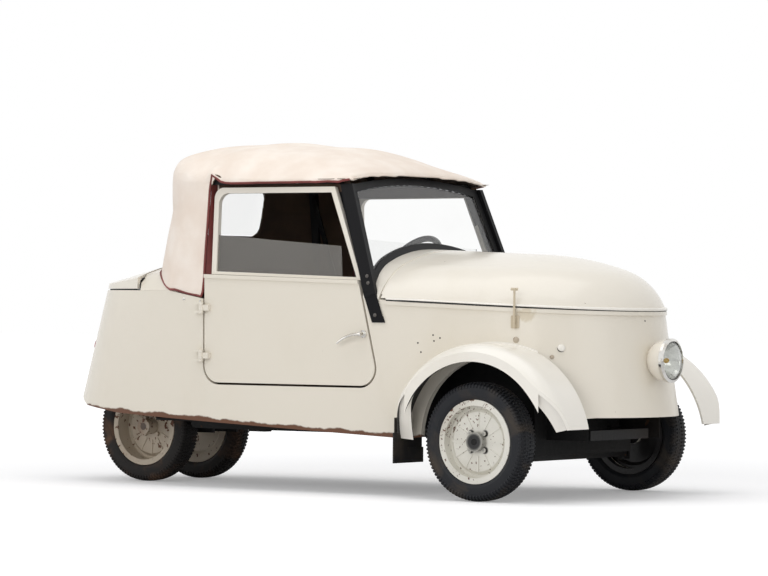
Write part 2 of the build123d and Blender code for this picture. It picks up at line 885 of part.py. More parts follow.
# Windscreen: a raked frame that stands on the cowl, its flat pane, and a channel bolted on each side
screen_rake = atan2(screen_top_y - screen_base_y, screen_top_z - screen_base_z)
screen_up = Vector(0, sin(screen_rake), cos(screen_rake))
screen_plane = Plane(
    origin=Vector(0, screen_top_y, screen_top_z),
    x_dir=(1, 0, 0),
    z_dir=(0, -cos(screen_rake), sin(screen_rake)),
)


def screen_slab(inset, near, far):
    """Slab over the screen's outline between two depths, deep enough below to be cut by the cowl."""
    drop = screen_top_z - cowl_foot_z
    spread = (screen_base_half_width - screen_top_half_width) / (screen_top_z - screen_base_z)
    side = screen_top_half_width - inset
    foot = side + spread * drop
    with BuildPart() as slab:
        with BuildSketch(screen_plane.offset(near)):
            with BuildLine():
                Polyline((-side, -inset), (-foot, -drop), (foot, -drop), (side, -inset))
                ThreePointArc((-side, -inset), (0, screen_arch - inset), (side, -inset))
            make_face()
        extrude(amount=far - near)
    return slab.part


cowl_foot_z = seam_height(cowl_y)
cowl_bar = cowl_form(0, cowl_y - overrun, cowl_rear_y + overrun, -overrun)
gasket_bar = cowl_form(-gasket, cowl_y - overrun, cowl_rear_y + overrun, -overrun)
with BuildPart() as screen_light:
    add(screen_slab(screen_rim, -screen_depth, screen_depth))
    add(gasket_bar, mode=Mode.SUBTRACT)
with BuildPart() as windscreen_frame:
    add(screen_slab(0, -screen_depth, 0))
    add(screen_light.part, mode=Mode.SUBTRACT)
    add(cowl_bar, mode=Mode.SUBTRACT)
write(windscreen_frame.part, "windscreen_frame")
pane_near = -screen_depth / 2 - screen_glass / 2
with BuildPart() as windscreen_glass:
    add(screen_slab(screen_rim, pane_near, pane_near + screen_glass))
    add(gasket_bar, mode=Mode.SUBTRACT)
write(windscreen_glass.part, "windscreen_glass")

pillar_slope = (pillar_top_y - pillar_foot_y) / (pillar_top_z - pillar_foot_z)
pillar_knee_y = pillar_foot_y + pillar_slope * (pillar_knee_z - pillar_foot_z)
half_pillar = pillar_width / 2 * hypot(1, pillar_slope)
pillar_knee = Vector(pillar_knee_x, pillar_knee_y, pillar_knee_z)
pillar_top = Vector(pillar_top_x, pillar_top_y, pillar_top_z)
pillar_run = pillar_top - pillar_knee
pillar_out = Vector(0, 1, 0).cross(pillar_run).normalized()
with BuildPart() as pillar_plate:
    add(hull(-pillar_stand))
    add(side_prism((
        (pillar_foot_y - half_pillar, pillar_foot_z),
        (pillar_foot_y + half_pillar, pillar_foot_z),
        (pillar_knee_y + half_pillar, pillar_knee_z),
        (pillar_knee_y - half_pillar, pillar_knee_z),
    ), 0), mode=Mode.INTERSECT)
    add(hull_outer, mode=Mode.SUBTRACT)
with BuildPart() as pillar:
    with BuildSketch(Plane(origin=pillar_knee, x_dir=pillar_run.normalized(), z_dir=pillar_out)):
        with Locations((pillar_run.length / 2, 0)):
            Rectangle(pillar_run.length + 2 * pillar_lap, pillar_width)
    extrude(amount=-pillar_thickness)
    add(body_shell.part, mode=Mode.SUBTRACT)
    add(pillar_plate.part)
    add(cowl_bar, mode=Mode.SUBTRACT)
    with Locations((0, 0, side_edge_z + reach)):
        Box(2 * reach, 2 * reach, 2 * reach, mode=Mode.SUBTRACT)
with BuildPart() as pillars:
    add(pillar.part)
    add(mirrored(pillar.part))
write(pillars.part, "pillars")

# Front fenders: an arched strip with a rolled outer edge, turned about its own axis
fender_inner_radius = fender_radius - fender_skin
fender_shoulder_x = fender_outer_x - fender_shoulder
fender_edge_radius = fender_radius - fender_shoulder / 2
fender_front_y = fender_axis_y - fender_radius - fender_bead
fender_rear_y = fender_axis_y + fender_radius + fender_bead
with BuildPart() as fender_plan:
    with BuildSketch():
        with BuildLine():
            Polyline((0, fender_front_y), (fender_outer_x, fender_front_y), (fender_outer_x, fender_rear_y),
                     (0, fender_rear_y), close=True)
        make_face()
        outer_corners = vertices().group_by(Axis.X)[-1].sort_by(Axis.Y)
        fillet(outer_corners[0], fender_front_corner)
        fillet(vertices().group_by(Axis.X)[-1].sort_by(Axis.Y)[-1], fender_rear_corner)
    extrude(amount=reach)
with BuildPart() as fender_seam:
    with BuildSketch(Plane.YZ.offset(fender_inner_x)):
        with Locations((fender_axis_y, fender_axis_z)):
            Circle(fender_radius + fender_bead)
            Circle(fender_inner_radius, mode=Mode.SUBTRACT)
    extrude(amount=reach)
    add(hull(-fender_bead), mode=Mode.INTERSECT)
with BuildPart() as fender_left:
    with BuildSketch(Plane(origin=(0, fender_axis_y, fender_axis_z), x_dir=(1, 0, 0), z_dir=(0, -1, 0))):
        with BuildLine():
            outer_top = (fender_shoulder_x, fender_radius)
            outer_edge = (fender_outer_x, fender_edge_radius)
            outer_lip = (fender_outer_x, fender_edge_radius - fender_lip)
            inner_lip = (fender_outer_x - fender_skin, fender_edge_radius - fender_lip)
            inner_edge = (fender_outer_x - fender_skin, fender_edge_radius)
            inner_top = (fender_shoulder_x, fender_inner_radius)
            Line((fender_inner_x, fender_radius), outer_top)
            TangentArc(outer_top, outer_edge, tangent=(1, 0))
            Polyline(outer_edge, outer_lip, inner_lip, inner_edge)
            TangentArc(inner_top, inner_edge, tangent=(1, 0))
            Polyline(inner_top, (fender_inner_x, fender_inner_radius), (fender_inner_x, fender_radius))
        make_face()
    revolve(axis=Axis((0, fender_axis_y, fender_axis_z), (1, 0, 0)))
    add(fender_plan.part, mode=Mode.INTERSECT)
    add(fender_seam.part)
    add(side_prism((
        (fender_axis_y, fender_axis_z),
        (fender_axis_y - reach, fender_axis_z + reach * tan(radians(fender_front_deg))),
        (fender_axis_y - reach, fender_axis_z + 2 * reach),
        (fender_axis_y + reach, fender_axis_z + 2 * reach),
        (fender_axis_y + reach, fender_axis_z + reach * tan(radians(fender_rear_deg))),
    )), mode=Mode.INTERSECT)
    add(hull_outer, mode=Mode.SUBTRACT)
write(fender_left.part, "fender_left")
write(mirrored(fender_left.part), "fender_right")

flap_y = fender_axis_y + fender_radius - fender_skin
flap_height = fender_axis_z + flap_tuck - flap_bottom_z
with BuildPart() as flap_left:
    with Locations(((flap_inner_x + flap_outer_x) / 2, flap_y, flap_bottom_z + flap_height / 2)):
        Box(flap_outer_x - flap_inner_x, flap_thickness, flap_height)
    add(fender_left.part, mode=Mode.SUBTRACT)
    add(hull_outer, mode=Mode.SUBTRACT)
with BuildPart() as mudflaps:
    add(flap_left.part)
    add(mirrored(flap_left.part))
write(mudflaps.part, "mudflaps")

# Headlamp: a bowl on the nose, its ring, and a bulged lens
lamp_plane = Plane(origin=(0, lamp_front_y, lamp_z), x_dir=(1, 0, 0), z_dir=(0, -1, 0))
lamp_axis = Axis((0, lamp_front_y, lamp_z), (0, 1, 0))
lamp_back_radius = lamp_radius * lamp_back_share


def lamp_turn(points_maker):
    """Solid turned about the lamp's axis from a half profile of (radius, depth behind the lens plane)."""
    with BuildPart() as turned:
        with BuildSketch(Plane(origin=(0, lamp_front_y, lamp_z), x_dir=(1, 0, 0), z_dir=(0, 0, 1))):
            with BuildLine():
                points_maker()
            make_face()
        revolve(axis=lamp_axis)
    return turned.part


def bowl_profile():
    rim = (lamp_radius - lamp_skin, lamp_ring_depth)
    back = (lamp_back_radius, lamp_depth + overrun)
    Line(rim, (lamp_radius - 2 * lamp_skin, lamp_ring_depth))
    ThreePointArc(
        (lamp_radius - 2 * lamp_skin, lamp_ring_depth),
        (lamp_radius * lamp_belly_share - lamp_skin, lamp_depth / 2),
        (0, lamp_depth - lamp_skin),
    )
    Line((0, lamp_depth - lamp_skin), (0, lamp_depth + overrun))
    Line((0, lamp_depth + overrun), back)
    Line(back, (lamp_back_radius, lamp_depth))
    ThreePointArc(
        (lamp_back_radius, lamp_depth),
        (lamp_radius * lamp_belly_share, lamp_depth * lamp_belly_depth_share),
        rim,
    )


def ring_profile():
    Polyline(
        (lamp_radius - lamp_ring, 0),
        (lamp_radius, lamp_ring / 2),
        (lamp_radius, lamp_ring_depth),
        (lamp_radius - lamp_ring, lamp_ring_depth),
        close=True,
    )


def lens_profile():
    edge = lamp_radius - lamp_ring
    seat = lamp_ring / 2
    nose = seat - lens_sagitta
    curve = (edge**2 + lens_sagitta**2) / (2 * lens_sagitta)
    arc_about((0, nose + curve), (0, nose), (edge, seat))
    Line((edge, seat), (edge, seat + lens_thickness))
    arc_about((0, nose + curve + lens_thickness), (edge, seat + lens_thickness), (0, nose + lens_thickness))
    Line((0, nose + lens_thickness), (0, nose))


headlamp_ring = lamp_turn(ring_profile)
headlamp_lens = lamp_turn(lens_profile)
with BuildPart() as headlamp_bowl:
    add(lamp_turn(bowl_profile))
    add(hull_outer, mode=Mode.SUBTRACT)
write(headlamp_ring, "headlamp_ring")
write(headlamp_lens, "headlamp_lens")
write(headlamp_bowl.part, "headlamp_bowl")

tail_share = (tail_lamp_z - plan_low_z) / (plan_high_z - plan_low_z)
tail_lamp_axis = tail_axis_low + (tail_axis_high - tail_axis_low) * tail_share
tail_lamp_y = tail_lamp_axis + tail_radius + tail_lamp_stand
with BuildPart() as tail_lamp_left:
    with BuildSketch(Plane.XZ.offset(-tail_lamp_y)):
        with Locations((tail_lamp_x, tail_lamp_z)):
            Circle(tail_lamp_radius)
    extrude(amount=2 * overrun)
    add(hull_outer, mode=Mode.SUBTRACT)
with BuildPart() as tail_lamps:
    add(tail_lamp_left.part)
    add(mirrored(tail_lamp_left.part))
write(tail_lamps.part, "tail_lamps")

# Bonnet latches on the flanks of the nose
latch_share = (latch_z - plan_low_z) / (plan_high_z - plan_low_z)
latch_centre_y = nose_axis_low + (nose_axis_high - nose_axis_low) * latch_share
latch_nose_radius = nose_radius_low + (nose_radius_high - nose_radius_low) * latch_share
latch_out = Vector(cos(radians(latch_deg)), -sin(radians(latch_deg)), 0)
latch_foot = Vector(0, latch_centre_y, latch_z) + latch_out * latch_nose_radius
latch_plane = Plane(origin=latch_foot, x_dir=(0, 0, 1), z_dir=latch_out)
latch_rod_low = -latch_plate_height / 2
with BuildPart() as latch_left:
    with BuildSketch(latch_plane.offset(-latch_rod_stand)):
        RectangleRounded(latch_plate_height, latch_plate_width, latch_plate_thickness)
    extrude(amount=latch_rod_stand + latch_plate_thickness)
    with BuildSketch(latch_plane):
        for height in (-latch_plate_height / 2 + latch_bridge, latch_plate_height / 2 - latch_bridge):
            with Locations((height, 0)):
                Rectangle(latch_bridge, latch_bridge)
    extrude(amount=latch_rod_stand)
    with BuildSketch(Plane(origin=latch_foot + latch_out * latch_rod_stand + Vector(0, 0, latch_rod_low))):
        Circle(latch_rod_radius)
    extrude(amount=latch_rod_length)
    with BuildSketch(Plane(
        origin=latch_foot + latch_out * latch_rod_stand + Vector(0, 0, latch_rod_low + latch_rod_length)
        - latch_plane.y_dir * latch_grip_length / 2,
        z_dir=latch_plane.y_dir,
    )):
        Circle(latch_grip_radius)
    extrude(amount=latch_grip_length)
    add(hull_outer, mode=Mode.SUBTRACT)
with BuildPart() as bonnet_latches:
    add(latch_left.part)
    add(mirrored(latch_left.part))
write(bonnet_latches.part, "bonnet_latches")

# Frame: two rails under the floor, cross members, and the tube that carries the rear arm
rail_top_z = floor_z
rail_z = rail_top_z - rail_height / 2
with BuildPart() as chassis_frame:
    for x in (-rail_x, rail_x):
        with Locations((x, (rail_front_y + seat_wall_y) / 2, rail_z)):
            Box(rail_width, seat_wall_y - rail_front_y, rail_height)
    for y in (rail_front_y + rail_width / 2, front_axle_y, toe_board_y, battery_front_y, battery_rear_y):
        with Locations((0, y, rail_z)):
            Box(2 * rail_x, rail_width, rail_height)
    with Locations((0, pivot_y, rail_z)):
        Cylinder(pivot_radius, 2 * rail_x + rail_width, rotation=(0, 90, 0))
    for x in (-rail_x, rail_x):
        for y in (jack_front_y, jack_rear_y):
            with Locations((x, y, rail_z - rail_height / 2 - jack_pad_height / 2)):
                Box(rail_width, jack_pad_length, jack_pad_height)
write(chassis_frame.part, "chassis_frame")

# Front axle: a beam with a boss for each kingpin, hung under a transverse leaf spring
leaf_top_z = rail_z - rail_height / 2
boss_low_z = beam_z - beam_height / 2
kingpins = ((-kingpin_x, front_axle_y), (kingpin_x, front_axle_y))
with BuildPart() as front_axle:
    with Locations((0, front_axle_y, beam_z)):
        Box(2 * kingpin_x, beam_depth, beam_height)
    with BuildSketch(Plane.XY.offset(boss_low_z)):
        with Locations(*kingpins):
            Circle(boss_radius)
    extrude(amount=boss_high_z - boss_low_z)
    with BuildSketch(Plane.XY.offset(boss_low_z)):
        with Locations(*kingpins):
            Circle(kingpin_radius + running_gap)
    extrude(amount=boss_high_z - boss_low_z, mode=Mode.SUBTRACT)
leaf_foot_z = leaf_top_z - leaf_count * leaf_thickness
beam_top_z = beam_z + beam_height / 2
with front_axle:
    for layer in range(leaf_count):
        length = leaf_length * (1 - layer * leaf_step_share)
        with Locations((0, front_axle_y, leaf_top_z - (layer + 1 / 2) * leaf_thickness)):
            Box(length, leaf_width, leaf_thickness)
    with Locations((0, front_axle_y, (leaf_foot_z + beam_top_z) / 2)):
        Box(leaf_width, leaf_width, leaf_foot_z - beam_top_z)
write(front_axle.part, "front_axle")

# Knuckles: two ears round the boss, a pin through it, a web and the stub that carries the wheel
web_x = kingpin_x + boss_radius + knuckle_clearance
stub_end_x = front_track / 2 + hub_length / 2
with BuildPart() as knuckle_left:
    for low in (boss_low_z - running_gap - knuckle_ear, boss_high_z + running_gap):
        with BuildSketch(Plane.XY.offset(low)):
            with Locations((kingpin_x, front_axle_y)):
                Circle(boss_radius)
            with Locations(((kingpin_x + web_x + knuckle_web) / 2, front_axle_y)):
                Rectangle(web_x + knuckle_web - kingpin_x, 2 * boss_radius)
        extrude(amount=knuckle_ear)
    with BuildSketch(Plane.XY.offset(boss_low_z - running_gap)):
        with Locations((kingpin_x, front_axle_y)):
            Circle(kingpin_radius)
        with Locations((web_x + knuckle_web / 2, front_axle_y)):
            Rectangle(knuckle_web, 2 * boss_radius)
    extrude(amount=boss_high_z - boss_low_z + 2 * running_gap)
    with BuildSketch(Plane.YZ.offset(web_x)):
        with Locations((front_axle_y, axle_z)):
            Circle(stub_radius)
    extrude(amount=stub_end_x - web_x)
write(knuckle_left.part, "knuckle_left")
write(mirrored(knuckle_left.part), "knuckle_right")

# Wheels: tyre and pressed disc are turned about one axis, dished towards the outside
half_tyre = tyre_width / 2
bead_radius = rim_radius - rim_flange
bead_half = half_tyre - tyre_bulge


def tyre_profile():
    """Half profile as (distance across, radius): beads, bulged walls, shoulders and a gently crowned tread."""
    tread_half = tyre_width * tread_share / 2
    shoulder = (tread_half, tyre_radius - tyre_crown)
    wall_mid = (half_tyre, (rim_radius + tyre_radius) / 2)
    bead = (bead_half, rim_radius)
    ThreePointArc((-shoulder[0], shoulder[1]), (0, tyre_radius), shoulder)
    ThreePointArc(shoulder, wall_mid, bead)
    Polyline(bead, (bead_half, bead_radius), (-bead_half, bead_radius), (-bead[0], bead[1]))
    ThreePointArc((-bead[0], bead[1]), (-wall_mid[0], wall_mid[1]), (-shoulder[0], shoulder[1]))


def wheel_profile(dish, hub_radius, bore_radius):
    """Flanged rim, disc stepped down at its ring, and hub, as (distance across, radius)."""
    barrel = bead_radius - rim_skin
    hub_half = hub_length / 2
    lip = bead_half + rim_lip
    ring = dish - disc_ring_drop
    Polyline(
        (-bead_half, bead_radius),
        (-bead_half, rim_radius),
        (-lip, rim_radius),
        (-lip, barrel),
        (ring - disc_skin, barrel),
        (ring - disc_skin, disc_ring_radius),
        (dish - disc_skin, disc_ring_radius - disc_ring_drop),
        (dish - disc_skin, hub_radius),
        (-hub_half, hub_radius),
        (-hub_half, bore_radius),
        (hub_half, bore_radius),
        (hub_half, hub_radius),
        (dish, hub_radius),
        (dish, disc_ring_radius - disc_ring_drop),
        (ring, disc_ring_radius),
        (ring, barrel),
        (lip, barrel),
        (lip, rim_radius),
        (bead_half, rim_radius),
        (bead_half, bead_radius),
        close=True,
    )


def turned(profile, x, y):
    """Solid turned about a wheel's axis."""
    with BuildPart() as solid:
        with BuildSketch(Plane(origin=(x, y, axle_z), x_dir=(1, 0, 0), z_dir=(0, -1, 0))):
            with BuildLine():
                profile()
            make_face()
        revolve(axis=Axis((x, y, axle_z), (1, 0, 0)))
    return solid.part


def pressed_wheel(profile, x, y, face):
    """Turned wheel with radial ribs pressed out of its disc and wheel nuts round the hub."""
    with BuildPart() as wheel:
        add(turned(profile, x, y))
        with BuildSketch(Plane(origin=(x + face - disc_skin / 2, y, axle_z), x_dir=(0, 1, 0), z_dir=(1, 0, 0))):
            with PolarLocations((rib_inner_radius + rib_outer_radius) / 2, rib_count):
                SlotOverall(rib_outer_radius - rib_inner_radius, rib_width)
        extrude(amount=disc_skin / 2 + rib_height)
        with BuildSketch(Plane(origin=(x + face - disc_skin / 2, y, axle_z), x_dir=(0, 1, 0), z_dir=(1, 0, 0))):
            with PolarLocations(nut_circle_radius, nut_count, start_angle=180 / nut_count):
                RegularPolygon(nut_radius, 6)
        extrude(amount=disc_skin / 2 + nut_height)
    return wheel.part


wheel_x = front_track / 2
tyre_left = turned(tyre_profile, wheel_x, front_axle_y)
wheel_left = pressed_wheel(
    lambda: wheel_profile(disc_dish, hub_radius, stub_radius + running_gap), wheel_x, front_axle_y, disc_dish
)
write(tyre_left, "tyre_front_left")
write(mirrored(tyre_left), "tyre_front_right")
write(wheel_left, "wheel_front_left")
write(mirrored(wheel_left), "wheel_front_right")

# Rear axle: one live shaft with a wheel at each end, in the bearings of a trailing arm
rear_x = rear_track / 2
with BuildPart() as rear_axle:
    with BuildSketch(Plane.YZ.offset(-rear_x - hub_length / 2)):
        with Locations((rear_axle_y, axle_z)):
            Circle(shaft_radius)
    extrude(amount=2 * rear_x + hub_length)
write(rear_axle.part, "rear_axle")
rear_tyre = turned(tyre_profile, rear_x, rear_axle_y)
rear_disc = pressed_wheel(
    lambda: wheel_profile(-disc_dish, rear_hub_radius, shaft_radius), rear_x, rear_axle_y, -disc_dish
)
with BuildPart() as tyres_rear:
    add(rear_tyre)
    add(mirrored(rear_tyre))
with BuildPart() as wheels_rear:
    add(rear_disc)
    add(mirrored(rear_disc))
write(tyres_rear.part, "tyres_rear")
write(wheels_rear.part, "wheels_rear")

arm_front_y = seat_wall_y + floor_skin + running_gap
with BuildPart() as rear_arm:
    for x in (-arm_x, arm_x):
        with Locations((x, (arm_front_y + arm_rear_y) / 2, (arm_low_z + arm_high_z) / 2)):
            Box(arm_plate, arm_rear_y - arm_front_y, arm_high_z - arm_low_z)
    with BuildSketch(Plane.YZ.offset(-arm_x)):
        with Locations((rear_axle_y, axle_z)):
            Circle(bearing_radius)
    extrude(amount=2 * arm_x)
    with BuildSketch(Plane.YZ.offset(-reach)):
        with Locations((rear_axle_y, axle_z)):
            Circle(shaft_radius + running_gap)
    extrude(amount=2 * reach, mode=Mode.SUBTRACT)
    for y, z, radius in ((pivot_y, rail_z, pivot_radius), (motor_y, motor_z, motor_radius)):
        with BuildSketch(Plane.YZ.offset(-reach)):
            with Locations((y, z)):
                Circle(radius)
        extrude(amount=2 * reach, mode=Mode.SUBTRACT)
write(rear_arm.part, "rear_arm")
with BuildPart() as drive_motor:
    with BuildSketch(Plane.YZ.offset(-motor_length / 2)):
        with Locations((motor_y, motor_z)):
            Circle(motor_radius)
    extrude(amount=motor_length)
write(drive_motor.part, "drive_motor")

# Batteries under the seat, and the bench itself
seat_floor_z = floor_z + floor_skin
with BuildPart() as battery_pack:
    with Locations((0, (battery_front_y + battery_rear_y) / 2, (seat_floor_z + battery_top_z) / 2)):
        Box(2 * battery_half_width, battery_rear_y - battery_front_y, battery_top_z - seat_floor_z)
write(battery_pack.part, "battery_pack")
cushion_depth = cushion_top_z - battery_top_z
with BuildPart() as seat_cushion:
    with Locations((0, (cushion_front_y + cushion_rear_y) / 2, battery_top_z + cushion_depth / 2)):
        Box(2 * cushion_half_width, cushion_rear_y - cushion_front_y, cushion_depth)
    fillet(seat_cushion.edges().filter_by(Axis.X).group_by(Axis.Z)[-1], cushion_corner / 2)
write(seat_cushion.part, "seat_cushion")
with BuildPart() as seat_backrest:
    with BuildSketch(Plane.YZ.offset(-backrest_half_width)):
        with BuildLine():
            Polyline(
                (cushion_rear_y - backrest_lean, cushion_top_z),
                (cushion_rear_y + backrest_thickness - backrest_lean, cushion_top_z),
                (cushion_rear_y + backrest_thickness, backrest_top_z),
                (cushion_rear_y, backrest_top_z),
                close=True,
            )
        make_face()
        fillet(vertices().group_by(Axis.Y)[-1], cushion_corner)
    extrude(amount=2 * backrest_half_width)
write(seat_backrest.part, "seat_backrest")

# Steering column and wheel on one raked axis
helm_out = Vector(0, cos(radians(helm_rake_deg)), sin(radians(helm_rake_deg)))
helm = Vector(helm_x, helm_y, helm_z)
helm_plane = Plane(origin=helm, x_dir=(1, 0, 0), z_dir=helm_out)
with BuildPart() as steering_column:
    with BuildSketch(helm_plane.offset(-spindle_length)):
        Circle(column_radius)
    extrude(amount=-column_length)
    with BuildSketch(helm_plane.offset(-spindle_length)):
        Circle(spindle_radius + running_gap)
    extrude(amount=-spindle_length, mode=Mode.SUBTRACT)
    add(floor_tub.part, mode=Mode.SUBTRACT)
write(steering_column.part, "steering_column")
with BuildPart() as steering_wheel:
    with BuildSketch(Plane(origin=helm, x_dir=(1, 0, 0), z_dir=helm_plane.y_dir * -1)):
        with Locations((helm_radius - helm_grip, 0)):
            Circle(helm_grip)
    revolve(axis=Axis(helm, helm_out))
    with BuildSketch(helm_plane.offset(-spoke_thickness / 2)):
        Rectangle(2 * (helm_radius - helm_grip), spoke_width)
        with Locations((0, (helm_radius - helm_grip) / 2)):
            Rectangle(spoke_width, helm_radius - helm_grip)
        Circle(boss_cap_radius)
    extrude(amount=spoke_thickness)
    with BuildSketch(helm_plane):
        Circle(spindle_radius)
    extrude(amount=-2 * spindle_length + running_gap)
write(steering_wheel.part, "steering_wheel")
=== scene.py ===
import math

import bmesh
import bpy
from mathutils import Matrix, Vector, noise
from mathutils.bvhtree import BVHTree


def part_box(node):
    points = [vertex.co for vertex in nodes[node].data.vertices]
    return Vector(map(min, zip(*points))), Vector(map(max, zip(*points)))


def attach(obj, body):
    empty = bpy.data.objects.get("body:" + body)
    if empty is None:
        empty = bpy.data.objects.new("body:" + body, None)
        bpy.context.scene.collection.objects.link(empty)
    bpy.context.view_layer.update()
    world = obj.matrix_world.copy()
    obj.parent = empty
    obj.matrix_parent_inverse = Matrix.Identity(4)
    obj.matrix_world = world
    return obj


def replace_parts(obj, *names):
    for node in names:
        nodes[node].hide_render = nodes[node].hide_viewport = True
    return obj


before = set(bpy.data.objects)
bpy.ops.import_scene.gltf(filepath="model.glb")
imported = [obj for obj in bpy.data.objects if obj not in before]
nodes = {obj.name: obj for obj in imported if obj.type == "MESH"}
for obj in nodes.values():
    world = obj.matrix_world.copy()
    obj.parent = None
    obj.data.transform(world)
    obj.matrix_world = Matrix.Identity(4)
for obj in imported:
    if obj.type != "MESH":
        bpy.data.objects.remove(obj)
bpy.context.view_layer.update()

scene = bpy.context.scene
scene.view_settings.view_transform = "Standard"


# camera and studio

camera = {
    "place": (-11.6576, -8.2326, 0.7251),
    "yaw": 54.861,  # degrees from +Y towards +X
    "pitch": 0.138,
    "roll": -0.443,
    "lens": 176.12,
    "sensor": 36,
    "reach": 100,
}


def makeCamera():
    yaw, pitch, roll = (math.radians(camera[k]) for k in ("yaw", "pitch", "roll"))
    ahead = Vector((math.sin(yaw) * math.cos(pitch), math.cos(yaw) * math.cos(pitch), math.sin(pitch)))
    level = Vector((math.cos(yaw), -math.sin(yaw), 0))
    down = ahead.cross(level)
    right = level * math.cos(roll) + down * math.sin(roll)
    up = level * math.sin(roll) - down * math.cos(roll)
    data = bpy.data.cameras.new("studioCamera")
    data.lens = camera["lens"]
    data.sensor_width = camera["sensor"]
    data.clip_end = camera["reach"]
    eye = bpy.data.objects.new("studioCamera", data)
    scene.collection.objects.link(eye)
    eye.matrix_world = Matrix((right, up, -ahead)).transposed().to_4x4()
    eye.location = camera["place"]
    scene.camera = eye


studio = {
    "floorColor": (0.86, 0.86, 0.87, 1),
    "floorSize": 80,
    "glowNearShaded": 0.24,  # the floor's own white towards the camera, near the object and far from it; lower near the object, a painted shade round it
    "glowFar": 0.62,
    "nearReach": 1.9,
    "farReach": 6.0,
    "worldColor": (1.0, 1.0, 1.0, 1),
    "worldLight": 0.60,
    # name, place, aim, size, power
    "lamps": (
        ("overhead", (-0.8, -0.4, 4.6), (0, 0, 0.6), (5.0, 3.6), 74),
        ("cameraSide", (-6.5, -1.0, 2.6), (0, 0.1, 0.7), (4.5, 3.0), 95),
        ("noseSide", (-1.5, -6.5, 2.4), (0, -0.6, 0.6), (3.5, 2.6), 22),
        ("tailSide", (-2.5, 6.5, 2.6), (0, 0.8, 0.7), (3.0, 2.4), 22),
    ),
}


def nodeTree(owner):
    owner.use_nodes = True
    tree = owner.node_tree
    tree.nodes.clear()
    return tree


def addNode(tree, kind, **values):
    node = tree.nodes.new(kind)
    for name, value in values.items():
        if hasattr(node, name):
            setattr(node, name, value)
        else:
            node.inputs[name].default_value = value
    return node


def join(tree, value, socket):
    # links another socket, or writes a plain value
    if isinstance(value, bpy.types.NodeSocket):
        tree.links.new(value, socket)
    else:
        opaque = socket.type == "RGBA" and len(value) == 3
        socket.default_value = (*value, 1) if opaque else value


def makeFloor():
    bpy.ops.mesh.primitive_plane_add(size=studio["floorSize"])
    floor = bpy.context.object
    floor.name = "studioFloor"
    paper = bpy.data.materials.new("studioPaper")
    tree = nodeTree(paper)
    out = addNode(tree, "ShaderNodeOutputMaterial")
    diffuse = addNode(tree, "ShaderNodeBsdfDiffuse")
    diffuse.inputs["Color"].default_value = studio["floorColor"]
    glow = addNode(tree, "ShaderNodeEmission")
    path = addNode(tree, "ShaderNodeLightPath")
    place = addNode(tree, "ShaderNodeTexCoord")
    reach = addNode(tree, "ShaderNodeVectorMath", operation="LENGTH")
    # the glow drops towards the object, so the floor is painted darker round it as shade
    level = addNode(tree, "ShaderNodeMapRange")
    ends = {"From Min": "nearReach", "From Max": "farReach", "To Min": "glowNearShaded", "To Max": "glowFar"}
    for label, key in ends.items():
        level.inputs[label].default_value = studio[key]
    strength = addNode(tree, "ShaderNodeMath", operation="MULTIPLY")
    both = addNode(tree, "ShaderNodeAddShader")
    join(tree, place.outputs["Object"], reach.inputs[0])
    join(tree, reach.outputs["Value"], level.inputs["Value"])
    join(tree, level.outputs["Result"], strength.inputs[1])
    join(tree, path.outputs["Is Camera Ray"], strength.inputs[0])
    join(tree, strength.outputs[0], glow.inputs["Strength"])
    join(tree, diffuse.outputs[0], both.inputs[0])
    join(tree, glow.outputs[0], both.inputs[1])
    join(tree, both.outputs[0], out.inputs["Surface"])
    floor.data.materials.append(paper)


def makeWorld():
    world = bpy.data.worlds.new("studioWorld")
    scene.world = world
    tree = nodeTree(world)
    out = addNode(tree, "ShaderNodeOutputWorld")
    back = addNode(tree, "ShaderNodeBackground")
    back.inputs["Color"].default_value = studio["worldColor"]
    path = addNode(tree, "ShaderNodeLightPath")
    seen = addNode(tree, "ShaderNodeMath", operation="MAXIMUM")
    seenGlass = addNode(tree, "ShaderNodeMath", operation="MAXIMUM")
    level = addNode(tree, "ShaderNodeMapRange")
    level.inputs["To Min"].default_value = studio["worldLight"]
    level.inputs["To Max"].default_value = 1.0
    join(tree, path.outputs["Is Camera Ray"], seen.inputs[0])
    join(tree, path.outputs["Is Glossy Ray"], seen.inputs[1])
    join(tree, seen.outputs[0], seenGlass.inputs[0])
    join(tree, path.outputs["Is Transmission Ray"], seenGlass.inputs[1])
    join(tree, seenGlass.outputs[0], level.inputs["Value"])
    join(tree, level.outputs["Result"], back.inputs["Strength"])
    join(tree, back.outputs[0], out.inputs["Surface"])


def makeLamps():
    for name, place, aim, size, power in studio["lamps"]:
        data = bpy.data.lights.new(name, "AREA")
        data.shape, data.size, data.size_y, data.energy = "RECTANGLE", size[0], size[1], power
        lamp = bpy.data.objects.new(name, data)
        scene.collection.objects.link(lamp)
        lamp.location = place
        lamp.rotation_euler = (Vector(aim) - Vector(place)).to_track_quat("-Z", "Y").to_euler()


makeCamera()
makeFloor()
makeWorld()
makeLamps()
print("camera and studio ready")


# shader groups that several finishes share

def makeGroup(name, inputs, outputs):
    group = bpy.data.node_groups.new(name, "ShaderNodeTree")
    for label, value in inputs.items():
        kind = "NodeSocketFloat" if isinstance(value, float) else "NodeSocketVector"
        group.interface.new_socket(label, in_out="INPUT", socket_type=kind).default_value = value
    for label in outputs:
        group.interface.new_socket(label, in_out="OUTPUT", socket_type="NodeSocketFloat")
    return group, group.nodes.new("NodeGroupInput").outputs, group.nodes.new("NodeGroupOutput").inputs


def mathNode(tree, operation, *values):
    node = addNode(tree, "ShaderNodeMath", operation=operation)
    for value, socket in zip(values, node.inputs):
        join(tree, value, socket)
    return node.outputs[0]


def times(tree, first, second):
    return mathNode(tree, "MULTIPLY", first, second)


def plus(tree, first, second):
    return mathNode(tree, "ADD", first, second)


def minus(tree, first, second):
    return mathNode(tree, "SUBTRACT", first, second)


def larger(tree, first, second):
    return mathNode(tree, "MAXIMUM", first, second)


